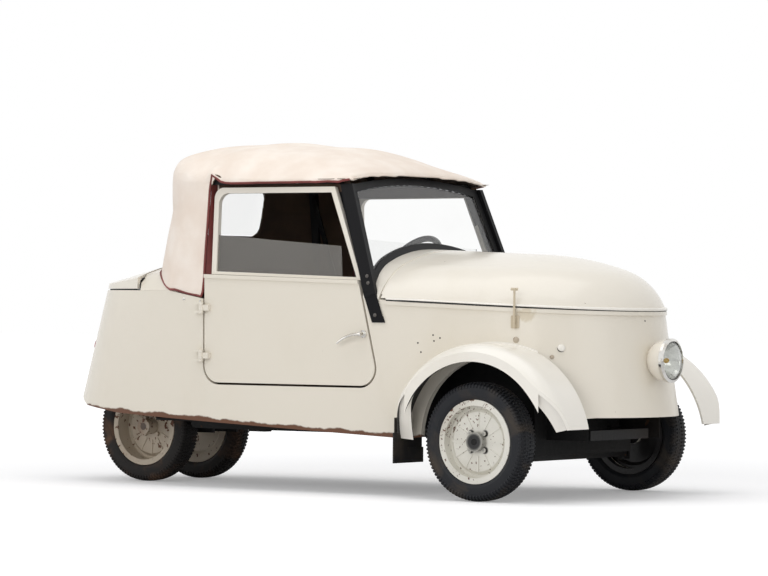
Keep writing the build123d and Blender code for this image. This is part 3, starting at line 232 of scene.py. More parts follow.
def vectorNode(tree, operation, *values):
    node = addNode(tree, "ShaderNodeVectorMath", operation=operation)
    for value, socket in zip(values, node.inputs):
        join(tree, value, socket)
    return node.outputs


def mixColor(tree, amount, first, second):
    node = addNode(tree, "ShaderNodeMix", data_type="RGBA")
    for value, index in ((amount, 0), (first, 6), (second, 7)):
        join(tree, value, node.inputs[index])
    return node.outputs[2]


def placeOn(tree):
    return addNode(tree, "ShaderNodeTexCoord").outputs["Object"]


def faceNormal(tree):
    return addNode(tree, "ShaderNodeNewGeometry").outputs["Normal"]


def axesOf(tree, vector):
    node = addNode(tree, "ShaderNodeSeparateXYZ")
    join(tree, vector, node.inputs[0])
    return node.outputs


def noiseAt(tree, place, scale, detail=4.0, distortion=0.0):
    node = addNode(tree, "ShaderNodeTexNoise", Detail=detail, Distortion=distortion)
    join(tree, place, node.inputs["Vector"])
    join(tree, scale, node.inputs["Scale"])
    return node.outputs["Fac"]


def step(tree, value, low, high):
    node = addNode(tree, "ShaderNodeMapRange", interpolation_type="SMOOTHSTEP")
    for label, item in (("Value", value), ("From Min", low), ("From Max", high)):
        join(tree, item, node.inputs[label])
    return node.outputs["Result"]


def ragged(tree, place, scale, distortion, amount):
    # noise about zero, for an edge that isn't clean
    return times(tree, minus(tree, noiseAt(tree, place, scale, 6.0, distortion), 0.5), amount)


def facingIn(tree, at):
    # 1 on faces that look towards the car's middle
    facing = times(tree, axesOf(tree, faceNormal(tree))["X"], at["X"])
    return step(tree, times(tree, facing, -1.0), 0.12, 0.2)


def fromAxle(tree, center):
    # the way from an axle, level with the wheel
    away = vectorNode(tree, "SUBTRACT", placeOn(tree), center)["Vector"]
    return vectorNode(tree, "MULTIPLY", away, (0, 1, 1))["Vector"]


def stainGroup():
    tree, enter, leave = makeGroup("stains", {"Scale": 3.0, "Amount": 0.5}, ["Mask"])
    cloud = noiseAt(tree, placeOn(tree), enter["Scale"], 7.0, 0.6)
    join(tree, times(tree, step(tree, cloud, 0.46, 0.78), enter["Amount"]), leave["Mask"])
    return tree


def chipGroup():
    tree, enter, leave = makeGroup("chips", {"Scale": 60.0, "Amount": 0.2, "Patch": 2.0}, ["Mask"])
    place = placeOn(tree)
    fine = noiseAt(tree, place, enter["Scale"], 5.0, 0.3)
    patch = noiseAt(tree, place, enter["Patch"], 3.0)
    cut = minus(tree, 0.86, times(tree, enter["Amount"], patch))
    join(tree, step(tree, fine, cut, plus(tree, cut, 0.03)), leave["Mask"])
    return tree


def lowerEdgeGroup():
    inputs = {"Level": 0.21, "Slope": 0.05, "Height": 0.02, "Ragged": 0.02}
    tree, enter, leave = makeGroup("lowerEdge", inputs, ["Mask"])
    place = placeOn(tree)
    axes = axesOf(tree, place)
    edge = plus(tree, enter["Level"], times(tree, axes["Y"], enter["Slope"]))
    over = plus(tree, minus(tree, axes["Z"], edge), ragged(tree, place, 14.0, 0.0, enter["Ragged"]))
    depth = mathNode(tree, "DIVIDE", over, enter["Height"])
    join(tree, step(tree, minus(tree, 1.0, depth), 0.0, 0.5), leave["Mask"])
    return tree


def spotGroup():
    tree, enter, leave = makeGroup("spot", {"Center": (0, 0, 0), "Radius": 0.05, "Ragged": 0.6}, ["Mask"])
    place = placeOn(tree)
    away = vectorNode(tree, "DISTANCE", place, enter["Center"])["Value"]
    share = mathNode(tree, "DIVIDE", away, enter["Radius"])
    rough = times(tree, ragged(tree, place, 26.0, 0.5, enter["Ragged"]), 3.0)
    join(tree, step(tree, minus(tree, 1.0, plus(tree, share, rough)), 0.0, 0.45), leave["Mask"])
    return tree


def insideGroup():
    inputs = {"Floor": 0.30, "Middle": 0.12, "Reach": 0.62}
    tree, enter, leave = makeGroup("insideFace", inputs, ["Mask"])
    # faces that look towards the cabin's middle, above the floor: where the dark lining and its painted
    # shade go
    at = axesOf(tree, placeOn(tree))
    away = mathNode(tree, "ABSOLUTE", minus(tree, at["Y"], enter["Middle"]))
    cabin = mathNode(tree, "LESS_THAN", away, enter["Reach"])
    high = mathNode(tree, "GREATER_THAN", at["Z"], enter["Floor"])
    join(tree, times(tree, times(tree, facingIn(tree, at), cabin), high), leave["Mask"])
    return tree


def archShadeGroup():
    tree, enter, leave = makeGroup("archInsideShade", {"Center": (0, 0, 0)}, ["Mask"])
    # faces that look at the axle, inside the fender's arch: where its painted shade goes
    facing = vectorNode(tree, "DOT_PRODUCT", faceNormal(tree), fromAxle(tree, enter["Center"]))["Value"]
    join(tree, step(tree, times(tree, facing, -1.0), 0.04, 0.06), leave["Mask"])
    return tree


def wheelBackShadeGroup():
    tree, enter, leave = makeGroup("wheelBackShade", {"Inner": 0.512}, ["Mask"])
    # wheel faces turned to the car or deep under it: where the wheels' painted shade goes
    at = axesOf(tree, placeOn(tree))
    deep = mathNode(tree, "LESS_THAN", mathNode(tree, "ABSOLUTE", at["X"]), enter["Inner"])
    join(tree, larger(tree, facingIn(tree, at), deep), leave["Mask"])
    return tree


def wheelWellShadeGroup():
    inputs = {"Center": (0, 0, 0), "Radius": 0.3, "Beyond": 0.2}
    tree, enter, leave = makeGroup("wheelWellShade", inputs, ["Mask"])
    # body faces near the front axle, away from the middle: where the wheel well's painted shade goes
    reach = vectorNode(tree, "LENGTH", fromAxle(tree, enter["Center"]))["Value"]
    near = mathNode(tree, "LESS_THAN", reach, enter["Radius"])
    across = mathNode(tree, "ABSOLUTE", axesOf(tree, placeOn(tree))["X"])
    wide = mathNode(tree, "GREATER_THAN", across, enter["Beyond"])
    join(tree, times(tree, near, wide), leave["Mask"])
    return tree


def weaveGroup():
    tree, enter, leave = makeGroup("clothWeave", {"Threads": 220.0, "Slub": 9.0}, ["Height", "Tone"])
    place = placeOn(tree)
    total = 0.0
    for axis in ("X", "Y", "Z"):
        wave = addNode(tree, "ShaderNodeTexWave", wave_type="BANDS", bands_direction=axis, Distortion=0.6)
        join(tree, place, wave.inputs["Vector"])
        join(tree, enter["Threads"], wave.inputs["Scale"])
        total = plus(tree, total, wave.outputs["Fac"])
    slub = noiseAt(tree, place, enter["Slub"], 8.0)
    join(tree, plus(tree, times(tree, total, 0.33), times(tree, slub, 0.5)), leave["Height"])
    join(tree, step(tree, slub, 0.25, 0.8), leave["Tone"])
    return tree


def grainGroup():
    tree, enter, leave = makeGroup("leatherGrain", {"Scale": 240.0}, ["Height", "Tone"])
    place = placeOn(tree)
    cells = addNode(tree, "ShaderNodeTexVoronoi", feature="DISTANCE_TO_EDGE")
    join(tree, place, cells.inputs["Vector"])
    join(tree, enter["Scale"], cells.inputs["Scale"])
    creases = step(tree, cells.outputs["Distance"], 0.0, 0.25)
    worn = noiseAt(tree, place, 7.0, 6.0)
    join(tree, plus(tree, times(tree, creases, 0.6), worn), leave["Height"])
    join(tree, step(tree, worn, 0.3, 0.75), leave["Tone"])
    return tree


groups = {
    "stains": stainGroup(),
    "chips": chipGroup(),
    "lowerEdge": lowerEdgeGroup(),
    "spot": spotGroup(),
    "inside": insideGroup(),
    "arch": archShadeGroup(),
    "wheelWellShade": wheelWellShadeGroup(),
    "wheelBackShade": wheelBackShadeGroup(),
    "weave": weaveGroup(),
    "grain": grainGroup(),
}


def useGroup(tree, name, **values):
    node = addNode(tree, "ShaderNodeGroup", node_tree=groups[name])
    for label, value in values.items():
        node.inputs[label].default_value = value
    return node.outputs


def newMaterial(name, **sockets):
    material = bpy.data.materials.new(name)
    tree = nodeTree(material)
    out = addNode(tree, "ShaderNodeOutputMaterial")
    shader = addNode(tree, "ShaderNodeBsdfPrincipled")
    for label, value in sockets.items():
        shader.inputs[label].default_value = value
    join(tree, shader.outputs[0], out.inputs["Surface"])
    return material, tree, shader


def tint(tree, shader, mask, first, second):
    join(tree, mixColor(tree, mask, first, second), shader.inputs["Base Color"])


def roughen(tree, shader, gloss, mask, more):
    join(tree, plus(tree, gloss, times(tree, mask, more)), shader.inputs["Roughness"])


def relief(tree, shader, height, strength, distance):
    bump = addNode(tree, "ShaderNodeBump", Strength=strength, Distance=distance)
    join(tree, height, bump.inputs["Height"])
    join(tree, bump.outputs["Normal"], shader.inputs["Normal"])


# painted and bare metal

paintLooks = {
    "bodyIvory": {
        "paint": (0.760, 0.708, 0.612), "stain": (0.60, 0.52, 0.38), "rust": (0.12, 0.045, 0.018),
        "gloss": 0.24, "worn": 0.50, "stains": 0.16, "chips": 0.17, "chipScale": 70.0, "relief": 0.10,
        # the cabin's inner faces dark brown: a lining deepened into painted shade
        "edge": {"Level": 0.236, "Slope": 0.046, "Height": 0.014, "Ragged": 0.034}, "linedAndShaded": True,
        # the body round the front wheel, painted near black as the wheel well's shade
        "well": ((0.0, -0.829, 0.186), 0.300),
        # brown patches: the first, just under the bonnet bead, is dirt with the bead's painted shadow; the
        # second lies by the holes
        "spots": (((-0.42, -0.94, 0.665), 0.040, 0.8), ((-0.48, -0.58, 0.572), 0.016, 0.7)),
    },
    "panelIvory": {
        "paint": (0.790, 0.742, 0.655), "stain": (0.62, 0.55, 0.42), "rust": (0.12, 0.045, 0.018),
        "gloss": 0.22, "worn": 0.42, "stains": 0.18, "chips": 0.22, "chipScale": 80.0, "relief": 0.08,
    },
    "fenderIvory": {
        "paint": (0.860, 0.825, 0.755), "stain": (0.66, 0.60, 0.48), "rust": (0.12, 0.045, 0.018),
        "gloss": 0.18, "worn": 0.5, "stains": 0.25, "chips": 0.14, "chipScale": 60.0, "relief": 0.10,
        # the axle that the arch's painted shade is centred on
        "arch": (0.0, -0.82, 0.213),
    },
    "wheelCream": {
        "paint": (0.730, 0.710, 0.640), "stain": (0.40, 0.36, 0.29), "rust": (0.10, 0.040, 0.018),
        "gloss": 0.34, "worn": 0.62, "stains": 0.75, "chips": 0.42, "chipScale": 90.0, "relief": 0.12,
    },
    "rearWheelCream": {
        "paint": (0.47, 0.40, 0.31), "stain": (0.20, 0.12, 0.075), "rust": (0.10, 0.036, 0.016),
        "gloss": 0.45, "worn": 0.75, "stains": 1.0, "chips": 0.55, "chipScale": 50.0, "relief": 0.16,
    },
    "latchCream": {
        "paint": (0.560, 0.480, 0.350), "stain": (0.30, 0.23, 0.14), "rust": (0.12, 0.05, 0.022),
        "gloss": 0.36, "worn": 0.6, "stains": 0.9, "chips": 0.40, "chipScale": 120.0, "relief": 0.10,
    },
    "chassisBlack": {
        "paint": (0.010, 0.010, 0.010), "stain": (0.022, 0.017, 0.013), "rust": (0.07, 0.030, 0.014),
        "specular": 0.2, "gloss": 0.50, "worn": 0.78, "stains": 0.9, "chips": 0.30, "chipScale": 40.0,
        "relief": 0.20,
    },
    "underseal": {
        "paint": (0.008, 0.008, 0.008), "stain": (0.020, 0.016, 0.013), "rust": (0.05, 0.025, 0.014),
        "specular": 0.2, "gloss": 0.70, "worn": 0.90, "stains": 0.9, "chips": 0.30, "chipScale": 30.0,
        "relief": 0.40,
    },
    "pillarBlack": {
        "paint": (0.007, 0.007, 0.008), "stain": (0.016, 0.016, 0.016), "rust": (0.16, 0.13, 0.10),
        "gloss": 0.30, "worn": 0.45, "stains": 0.3, "chips": 0.20, "chipScale": 90.0, "relief": 0.05,
        "specular": 0.14,
    },
    "springSteel": {
        "paint": (0.080, 0.072, 0.064), "stain": (0.11, 0.060, 0.030), "rust": (0.15, 0.06, 0.024),
        "gloss": 0.38, "worn": 0.70, "stains": 0.9, "chips": 0.50, "chipScale": 50.0, "relief": 0.20,
    },
    "motorIron": {
        "paint": (0.060, 0.060, 0.063), "stain": (0.030, 0.026, 0.022), "rust": (0.12, 0.05, 0.02),
        "gloss": 0.55, "worn": 0.80, "stains": 0.9, "chips": 0.34, "chipScale": 45.0, "relief": 0.30,
    },
}


hub = {"reach": 0.030, "radius": 0.046, "nuts": 4, "nutCircle": 0.042, "nutReach": 0.014, "nutRadius": 0.016}


def hubSpots(*nodeNames):
    # round the hub and its nuts, on both faces of each wheel
    spots = []
    for nodeName in nodeNames:
        low, high = (Vector(v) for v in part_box(nodeName))
        middle = (low + high) / 2
        x, outward = round(middle.x, 4), math.copysign(1, middle.x)
        spots.append(((x + outward * hub["reach"], middle.y, middle.z), hub["radius"]))
        for count in range(hub["nuts"]):
            turn = math.radians(45) + 2 * math.pi * count / hub["nuts"]
            y = middle.y + hub["nutCircle"] * math.cos(turn)
            z = middle.z + hub["nutCircle"] * math.sin(turn)
            spots.append(((x + outward * hub["nutReach"], y, z), hub["nutRadius"]))
    return spots


paintLooks["wheelCream"]["dark"] = hubSpots("wheel_front_left", "wheel_front_right")
# dark brown for the cabin's inner faces: a lining colour deepened into painted shade
liningAndShadeColor = (0.050, 0.026, 0.014)
# near black painted shade for the arches, the wheel well and the wheels' inner faces
paintedShadeColor = (0.010, 0.009, 0.009)
hubColor = (0.010, 0.010, 0.010)


def paintMaterial(name, look):
    material, tree, shader = newMaterial(name, **{"Specular IOR Level": look.get("specular", 0.5)})
    stains = useGroup(tree, "stains", Scale=2.6, Amount=look["stains"])["Mask"]
    chips = useGroup(tree, "chips", Scale=look["chipScale"], Amount=look["chips"], Patch=2.4)["Mask"]
    color = mixColor(tree, stains, look["paint"], look["stain"])
    # brown patches, one of them dirt with a painted shadow under the bonnet bead
    for center, radius, amount in look.get("spots", ()):
        spot = useGroup(tree, "spot", Center=center, Radius=radius)["Mask"]
        color = mixColor(tree, times(tree, spot, amount), color, look["stain"])
    worn = chips
    if "edge" in look:
        worn = larger(tree, chips, useGroup(tree, "lowerEdge", **look["edge"])["Mask"])
    color = mixColor(tree, worn, color, look["rust"])
    dull = larger(tree, times(tree, stains, 0.6), worn)
    for center, radius in look.get("dark", ()):
        spot = useGroup(tree, "spot", Center=center, Radius=radius, Ragged=0.0)["Mask"]
        color = mixColor(tree, spot, color, hubColor)
    # the wheels' inner faces painted near black as shade
    if "dark" in look:
        color = mixColor(tree, useGroup(tree, "wheelBackShade")["Mask"], color, paintedShadeColor)
    # the arch's inner faces painted near black as shade
    if "arch" in look:
        color = mixColor(tree, useGroup(tree, "arch", Center=look["arch"])["Mask"], color, paintedShadeColor)
    # the body in the wheel well painted near black as shade
    if "well" in look:
        center, radius = look["well"]
        well = useGroup(tree, "wheelWellShade", Center=center, Radius=radius)["Mask"]
        color = mixColor(tree, well, color, paintedShadeColor)
    # the cabin's inner faces dark brown: lining, darkened as painted shade
    if look.get("linedAndShaded"):
        lining = useGroup(tree, "inside")["Mask"]
        color = mixColor(tree, lining, color, liningAndShadeColor)
        dull = larger(tree, dull, lining)
    join(tree, color, shader.inputs["Base Color"])
    roughen(tree, shader, look["gloss"], dull, look["worn"] - look["gloss"])
    peel = noiseAt(tree, placeOn(tree), 38.0, 2.0)
    relief(tree, shader, minus(tree, peel, worn), look["relief"], 0.004)
    return material


def chromeMaterial():
    material, tree, shader = newMaterial("dulledChrome", Metallic=1.0)
    stains = useGroup(tree, "stains", Scale=18.0, Amount=0.7)["Mask"]
    chips = useGroup(tree, "chips", Scale=140.0, Amount=0.35, Patch=9.0)["Mask"]
    color = mixColor(tree, stains, (0.74, 0.73, 0.70), (0.50, 0.46, 0.40))
    tint(tree, shader, chips, color, (0.16, 0.07, 0.03))
    roughen(tree, shader, 0.10, larger(tree, stains, chips), 0.38)
    return material


# rubber, glass, plastic

rubberLooks = {
    "tyreRubber": {
        "rubber": (0.016, 0.017, 0.020), "dust": (0.085, 0.066, 0.048), "dusty": 0.8, "gloss": 0.48,
    },
    "rearTyreRubber": {
        "rubber": (0.018, 0.016, 0.015), "dust": (0.120, 0.070, 0.045), "dusty": 1.0, "gloss": 0.60,
    },
    "gasketRubber": {
        "rubber": (0.008, 0.008, 0.009), "dust": (0.030, 0.028, 0.025), "dusty": 0.3, "gloss": 0.45,
    },
    "flapRubber": {
        "rubber": (0.016, 0.015, 0.015), "dust": (0.060, 0.048, 0.036), "dusty": 0.7, "gloss": 0.62,
    },
    "wheelRimPlastic": {
        "rubber": (0.012, 0.012, 0.014), "dust": (0.035, 0.033, 0.030), "dusty": 0.35, "gloss": 0.26,
    },
    "batteryCase": {
        "rubber": (0.020, 0.020, 0.021), "dust": (0.080, 0.072, 0.060), "dusty": 0.8, "gloss": 0.55,
    },
}


def rubberMaterial(name, look):
    material, tree, shader = newMaterial(name, **{"Specular IOR Level": 0.2})
    dust = useGroup(tree, "stains", Scale=9.0, Amount=look["dusty"])["Mask"]
    tint(tree, shader, dust, look["rubber"], look["dust"])
    roughen(tree, shader, look["gloss"], dust, 0.35)
    relief(tree, shader, noiseAt(tree, placeOn(tree), 160.0, 6.0), 0.12, 0.002)
    return material


clearLooks = {
    "clearGlass": {"clean": (0.97, 0.975, 0.97), "haze": (0.50, 0.47, 0.42), "amount": 0.04, "clear": 1.0},
    "doorGlass": {"clean": (0.40, 0.38, 0.35), "haze": (0.30, 0.28, 0.25), "amount": 0.30, "clear": 0.72},
    "lampGlass": {"clean": (0.94, 0.95, 0.93), "haze": (0.50, 0.47, 0.42), "amount": 0.05, "clear": 1.0},
}


def glassMaterial(name, look):
    material, tree, shader = newMaterial(name, **{"Transmission Weight": look["clear"], "IOR": 1.45})
    film = useGroup(tree, "stains", Scale=3.4, Amount=look["amount"])["Mask"]
    tint(tree, shader, film, look["clean"], look["haze"])
    join(tree, times(tree, film, 0.12), shader.inputs["Roughness"])
    return material


hazedLooks = {
    "reflectorSilver": {
        "clean": (0.62, 0.62, 0.60), "haze": (0.36, 0.36, 0.33), "scale": 22.0, "amount": 0.8,
        "gloss": 0.12, "sockets": {"Metallic": 1.0},
    },
    "redLens": {
        "clean": (0.42, 0.012, 0.010), "haze": (0.20, 0.02, 0.015), "scale": 16.0, "amount": 0.8,
        "gloss": 0.12, "sockets": {"Transmission Weight": 0.35, "IOR": 1.49, "Coat Weight": 0.3},
    },
    "yellowBulb": {
        "clean": (0.85, 0.52, 0.04), "haze": (0.60, 0.30, 0.02), "scale": 40.0, "amount": 0.5,
        "sockets": {"Transmission Weight": 0.5, "Roughness": 0.12},
    },
}


def hazedMaterial(name, look):
    material, tree, shader = newMaterial(name, **look["sockets"])
    haze = useGroup(tree, "stains", Scale=look["scale"], Amount=look["amount"])["Mask"]
    tint(tree, shader, haze, look["clean"], look["haze"])
    if "gloss" in look:
        roughen(tree, shader, look["gloss"], haze, 0.3)
    return material


# cloth and leathercloth

def clothMaterial(name, pale, dark, threads, strength):
    sockets = {"Sheen Weight": 0.12, "Sheen Roughness": 0.5, "Roughness": 0.8}
    material, tree, shader = newMaterial(name, **sockets)
    weave = useGroup(tree, "weave", Threads=threads)
    stains = useGroup(tree, "stains", Scale=1.9, Amount=0.22)["Mask"]
    color = mixColor(tree, weave["Tone"], dark, pale)
    tint(tree, shader, stains, color, dark)
    relief(tree, shader, weave["Height"], strength, 0.0015)
    return material


def leatherMaterial(name, pale, dark):
    material, tree, shader = newMaterial(name)
    grain = useGroup(tree, "grain", Scale=260.0)
    tint(tree, shader, grain["Tone"], dark, pale)
    roughen(tree, shader, 0.62, grain["Tone"], -0.18)
    relief(tree, shader, grain["Height"], 0.25, 0.002)
    return material


finishes = {name: paintMaterial(name, look) for name, look in paintLooks.items()}
finishes.update({name: rubberMaterial(name, look) for name, look in rubberLooks.items()})
finishes.update({name: glassMaterial(name, look) for name, look in clearLooks.items()})
finishes.update({name: hazedMaterial(name, look) for name, look in hazedLooks.items()})
finishes["chrome"] = chromeMaterial()
finishes["topCloth"] = clothMaterial("topCloth", (0.905, 0.825, 0.745), (0.815, 0.705, 0.610), 180.0, 0.22)
finishes["liningCloth"] = clothMaterial("liningCloth", (0.105, 0.062, 0.036), (0.06, 0.034, 0.02), 160, 0.3)
finishes["piping"] = leatherMaterial("piping", (0.235, 0.045, 0.040), (0.130, 0.022, 0.018))
finishes["seatHide"] = leatherMaterial("seatHide", (0.130, 0.058, 0.028), (0.065, 0.028, 0.014))

nodeFinish = {
    "body_shell": "bodyIvory", "floor_tub": "underseal", "cowl": "panelIvory",
    "chassis_frame": "chassisBlack", "windscreen_frame": "gasketRubber",
    "windscreen_glass": "clearGlass", "pillars": "pillarBlack",
    "fender_left": "fenderIvory", "fender_right": "fenderIvory", "mudflaps": "flapRubber",
    "bonnet_latches": "latchCream", "hood_bows": "chassisBlack", "headlamp_bowl": "panelIvory",
    "headlamp_ring": "chrome", "headlamp_lens": "lampGlass", "tail_lamps": "redLens", "soft_top": "topCloth",
    "rear_window": "clearGlass", "seat_cushion": "seatHide", "seat_backrest": "seatHide",
    "battery_pack": "batteryCase", "front_axle": "chassisBlack", "rear_arm": "chassisBlack",
    "drive_motor": "motorIron", "steering_column": "pillarBlack", "door_left": "bodyIvory",
    "door_right": "bodyIvory", "door_frame_left": "panelIvory", "door_frame_right": "panelIvory",
    "door_glass_left": "clearGlass", "door_glass_right": "doorGlass", "door_handle_left": "chrome",
    "door_handle_right": "chrome", "bonnet": "panelIvory", "deck_lid": "panelIvory",
    "knuckle_left": "chassisBlack", "knuckle_right": "chassisBlack", "wheel_front_left": "wheelCream",
    "wheel_front_right": "wheelCream", "tyre_front_left": "tyreRubber", "tyre_front_right": "tyreRubber",
    "rear_axle": "springSteel", "wheels_rear": "rearWheelCream", "tyres_rear": "rearTyreRubber",
    "steering_wheel": "wheelRimPlastic",
}
for name, node in nodes.items():
    node.data.materials.clear()
    node.data.materials.append(finishes[nodeFinish[name]])
print("finishes ready")


# mesh helpers

def meshPiece(name, bm, finish, body, smooth=40):
    mesh = bpy.data.meshes.new(name)
    bm.to_mesh(mesh)
    bm.free()
    return placePiece(name, mesh, finish, body, smooth)


def placePiece(name, mesh, finish, body, smooth=40):
    mesh.name = name
    for item in finish if isinstance(finish, tuple) else (finish,):
        mesh.materials.append(finishes[item])
    mesh.polygons.foreach_set("use_smooth", [True] * len(mesh.polygons))
    mesh.set_sharp_from_angle(angle=math.radians(smooth))
    piece = bpy.data.objects.new(name, mesh)
    scene.collection.objects.link(piece)
    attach(piece, body)
    return piece


def aimed(place, out):
    return Matrix.Translation(place) @ Vector(out).to_track_quat("Z", "Y").to_matrix().to_4x4()


def turnInto(bm, profile, place, out, steps=32, closed=False):
    # spins (radius, height) points round the axis that leaves place along out
    stand = aimed(place, out)
    ring = [bm.verts.new(stand @ Vector((radius, 0, height))) for radius, height in profile]
    edges = [bm.edges.new(pair) for pair in zip(ring, ring[1:])]
    if closed:
        edges.append(bm.edges.new((ring[-1], ring[0])))
    axis = stand.to_3x3() @ Vector((0, 0, 1))
    bmesh.ops.spin(
        bm, geom=ring + edges, cent=place, axis=axis, angle=2 * math.pi, steps=steps, use_merge=True
    )


def closeUp(bm):
    bmesh.ops.remove_doubles(bm, verts=bm.verts, dist=1e-5)
    bmesh.ops.recalc_face_normals(bm, faces=bm.faces)


def tube(name, points, radius, finish, body, cyclic=False):
    data = bpy.data.curves.new(name, "CURVE")
    data.dimensions, data.bevel_depth, data.bevel_resolution, data.use_fill_caps = "3D", radius, 2, True
    spline = data.splines.new("POLY")
    spline.points.add(len(points) - 1)
    for point, place in zip(spline.points, points):
        point.co = (*place, 1)
    spline.use_cyclic_u = cyclic
    curve = bpy.data.objects.new(name, data)
    scene.collection.objects.link(curve)
    mesh = bpy.data.meshes.new_from_object(curve.evaluated_get(bpy.context.evaluated_depsgraph_get()))
    bpy.data.objects.remove(curve)
    return placePiece(name, mesh, finish, body, 60)


surfaces = {}


def surfaceOf(name):
    if name not in surfaces:
        mesh = nodes[name].data
        places = [vert.co for vert in mesh.vertices]
        surfaces[name] = BVHTree.FromPolygons(places, [face.vertices for face in mesh.polygons])
    return surfaces[name]


def onNode(nodeName, origin, toward):
    # where a ray meets a CAD node, and which way the surface faces there
    place, normal, _, _ = surfaceOf(nodeName).ray_cast(Vector(origin), Vector(toward).normalized())
    assert place is not None, (nodeName, tuple(origin))
    return place, normal


def mergedCopy(nodeName):
    bm = bmesh.new()
    bm.from_mesh(nodes[nodeName].data)
    bmesh.ops.remove_doubles(bm, verts=bm.verts, dist=1e-5)
    return bm


def remeshed(bm, voxel):
    mesh = bpy.data.meshes.new("working")
    bm.to_mesh(mesh)
    bm.free()
    body = bpy.data.objects.new("working", mesh)
    scene.collection.objects.link(body)
    body.modifiers.new("voxels", "REMESH").voxel_size = voxel
    made = bpy.data.meshes.new_from_object(body.evaluated_get(bpy.context.evaluated_depsgraph_get()))
    bpy.data.objects.remove(body)
    return made


# soft top: one stretched cloth over its hoops, with a brown lining and dark red piping

top = {
    "voxel": 0.0085,
    "middle": Vector((0, 0.25, 0.90)),  # faces that look away from here are cloth, the others lining
    "hoops": (-0.18, 0.060, 0.350, 0.612),
    "sag": 0.007,
    "ripple": 0.0020,
    "sideEdge": 1.1455,
    "edgeFront": -0.186,
    "skirtFront": 0.463,  # Y where the solid's skirt starts behind the door
    "halfWidth": 0.489,
    "corner": 0.285,
    "cornerY": 0.53,
    "crown": (1.15, 1.21),  # Z where the walls turn into the roof
    "calm": (-0.19, -0.08),  # Y where the ripples start behind the front hem
    "backStarts": (0.45, 0.66),
    "skirt": (0.58, 0.47),
    "earSpan": (0.384, 0.425, 0.430, 0.462),  # Y where the ear starts, is full, and ends
    "pipe": 0.0046,
    # (z, y) down the skirt's front edge, (y, z) from the roof's edge up to the ear's tip
    "door": (
        (0.720, 0.470), (0.739, 0.461), (0.784, 0.456), (0.829, 0.454),
        (0.916, 0.448), (1.010, 0.440), (1.122, 0.431),
    ),
    "ear": ((0.384, 1.1455), (0.404, 1.158), (0.425, 1.178)),
    "foot": ((0.497, 0.7215), (0.523, 0.7245), (0.548, 0.729), (0.571, 0.734)),
    # (z, how far the cloth's back stands out)
    "back": ((0.86, 0.0), (1.05, -0.009), (1.19, 0.014), (1.26, 0.006)),
    # (rounds, above Z, from Y, to Y): where the solid's folds are smoothed away
    "easing": ((3, 0, -1, 1), (14, 1.165, -0.14, 1), (45, 1.17, 0.56, 1), (8, 0, -1, -0.165)),
    "rolls": 24,  # points along the roof's edge
    "arch": (0.1175, 0.010),  # how the front hem rises towards its ends
}


def share(value, low, high):
    return max(0.0, min(1.0, (value - low) / (high - low)))


def along(table, value):
    for (low, first), (high, last) in zip(table, table[1:]):
        if value <= high:
            return first + (last - first) * share(value, low, high)
    return table[-1][1]


def hoopSag(y):
    for near, far in zip(top["hoops"], top["hoops"][1:]):
        if near < y < far:
            return math.sin(math.pi * (y - near) / (far - near)) ** 2
    return 0.0


def ease(bm, verts, factor):
    bmesh.ops.smooth_vert(bm, verts=verts, factor=factor, use_axis_x=True, use_axis_y=True, use_axis_z=True)


def makeTop():
    mesh = remeshed(mergedCopy("soft_top"), top["voxel"])
    bm = bmesh.new()
    bm.from_mesh(mesh)
    for rounds, above, first, last in top["easing"]:
        verts = [vert for vert in bm.verts if vert.co.z > above and first < vert.co.y < last]
        for _ in range(rounds):
            ease(bm, verts, 0.5)
    bm.normal_update()
    for vert in bm.verts:
        at = vert.co.copy()
        out = vert.normal if vert.normal.dot(at - top["middle"]) > 0 else -vert.normal
        crown = share(at.z, *top["crown"])
        calm = share(at.y, *top["calm"])
        fall = top["sag"] * hoopSag(at.y) * crown
        ripple = top["ripple"] * calm
        wave = noise.noise(Vector((at.x * 5, at.y * 7, at.z * 3))) * ripple
        crease = noise.noise(Vector((at.x * 2, at.y * 2, at.z * 16 + at.y * 9))) * ripple * (1 - crown)
        place = at - out * (fall - wave - crease)
        outward = Vector((at.x, max(0.0, at.y - top["cornerY"]), 0))
        if outward.length > 0.01:
            place += outward.normalized() * along(top["back"], at.z) * share(at.y, *top["backStarts"])
        if abs(at.x) > 0.40 and at.y < 0.58 and at.z < 1.15:
            place.y -= (top["skirtFront"] - along(top["door"], at.z)) * share(at.y, *top["skirt"])
        first, peak, after, last = top["earSpan"]
        if abs(at.x) > 0.42 and first < at.y < last:
            rise = top["ear"][-1][1] - top["sideEdge"]
            rise *= min(share(at.y, first, peak), share(at.y, last, after))
            place.z += rise * share(at.z, 1.215, 1.150) * share(at.z, 1.09, 1.135)
        if at.y < -0.10 and at.z < 1.24:
            bend, drop = top["arch"]
            place.z += (bend * at.x * at.x - drop) * share(at.y, -0.10, -0.17) * share(at.z, 1.24, 1.20)
        vert.co = place
    bm.normal_update()
    for face in bm.faces:
        face.material_index = 0 if face.normal.dot(face.calc_center_median() - top["middle"]) > -0.02 else 1
    surfaces["topCloth"] = BVHTree.FromBMesh(bm)
    cloth = meshPiece("topCloth", bm, ("topCloth", "liningCloth"), "root", 50)
    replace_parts(cloth, "soft_top")
    return cloth


def nearest(surface, place):
    return surfaceOf(surface).find_nearest(Vector(place))[0]


def sidePath(side):
    points = []
    front, ear = top["edgeFront"], top["ear"][0][0]
    for count in range(top["rolls"]):
        points.append((front + (ear - front) * count / (top["rolls"] - 1), top["sideEdge"]))
    points += top["ear"][1:]
    points += [(y, z) for z, y in top["door"][::-1]]
    points += top["foot"]
    return [nearest("topCloth", (side * top["halfWidth"], y, z)) for y, z in points]


# rear deck: the painted strip between the lid and the cloth, and the rubber in the lid's gap

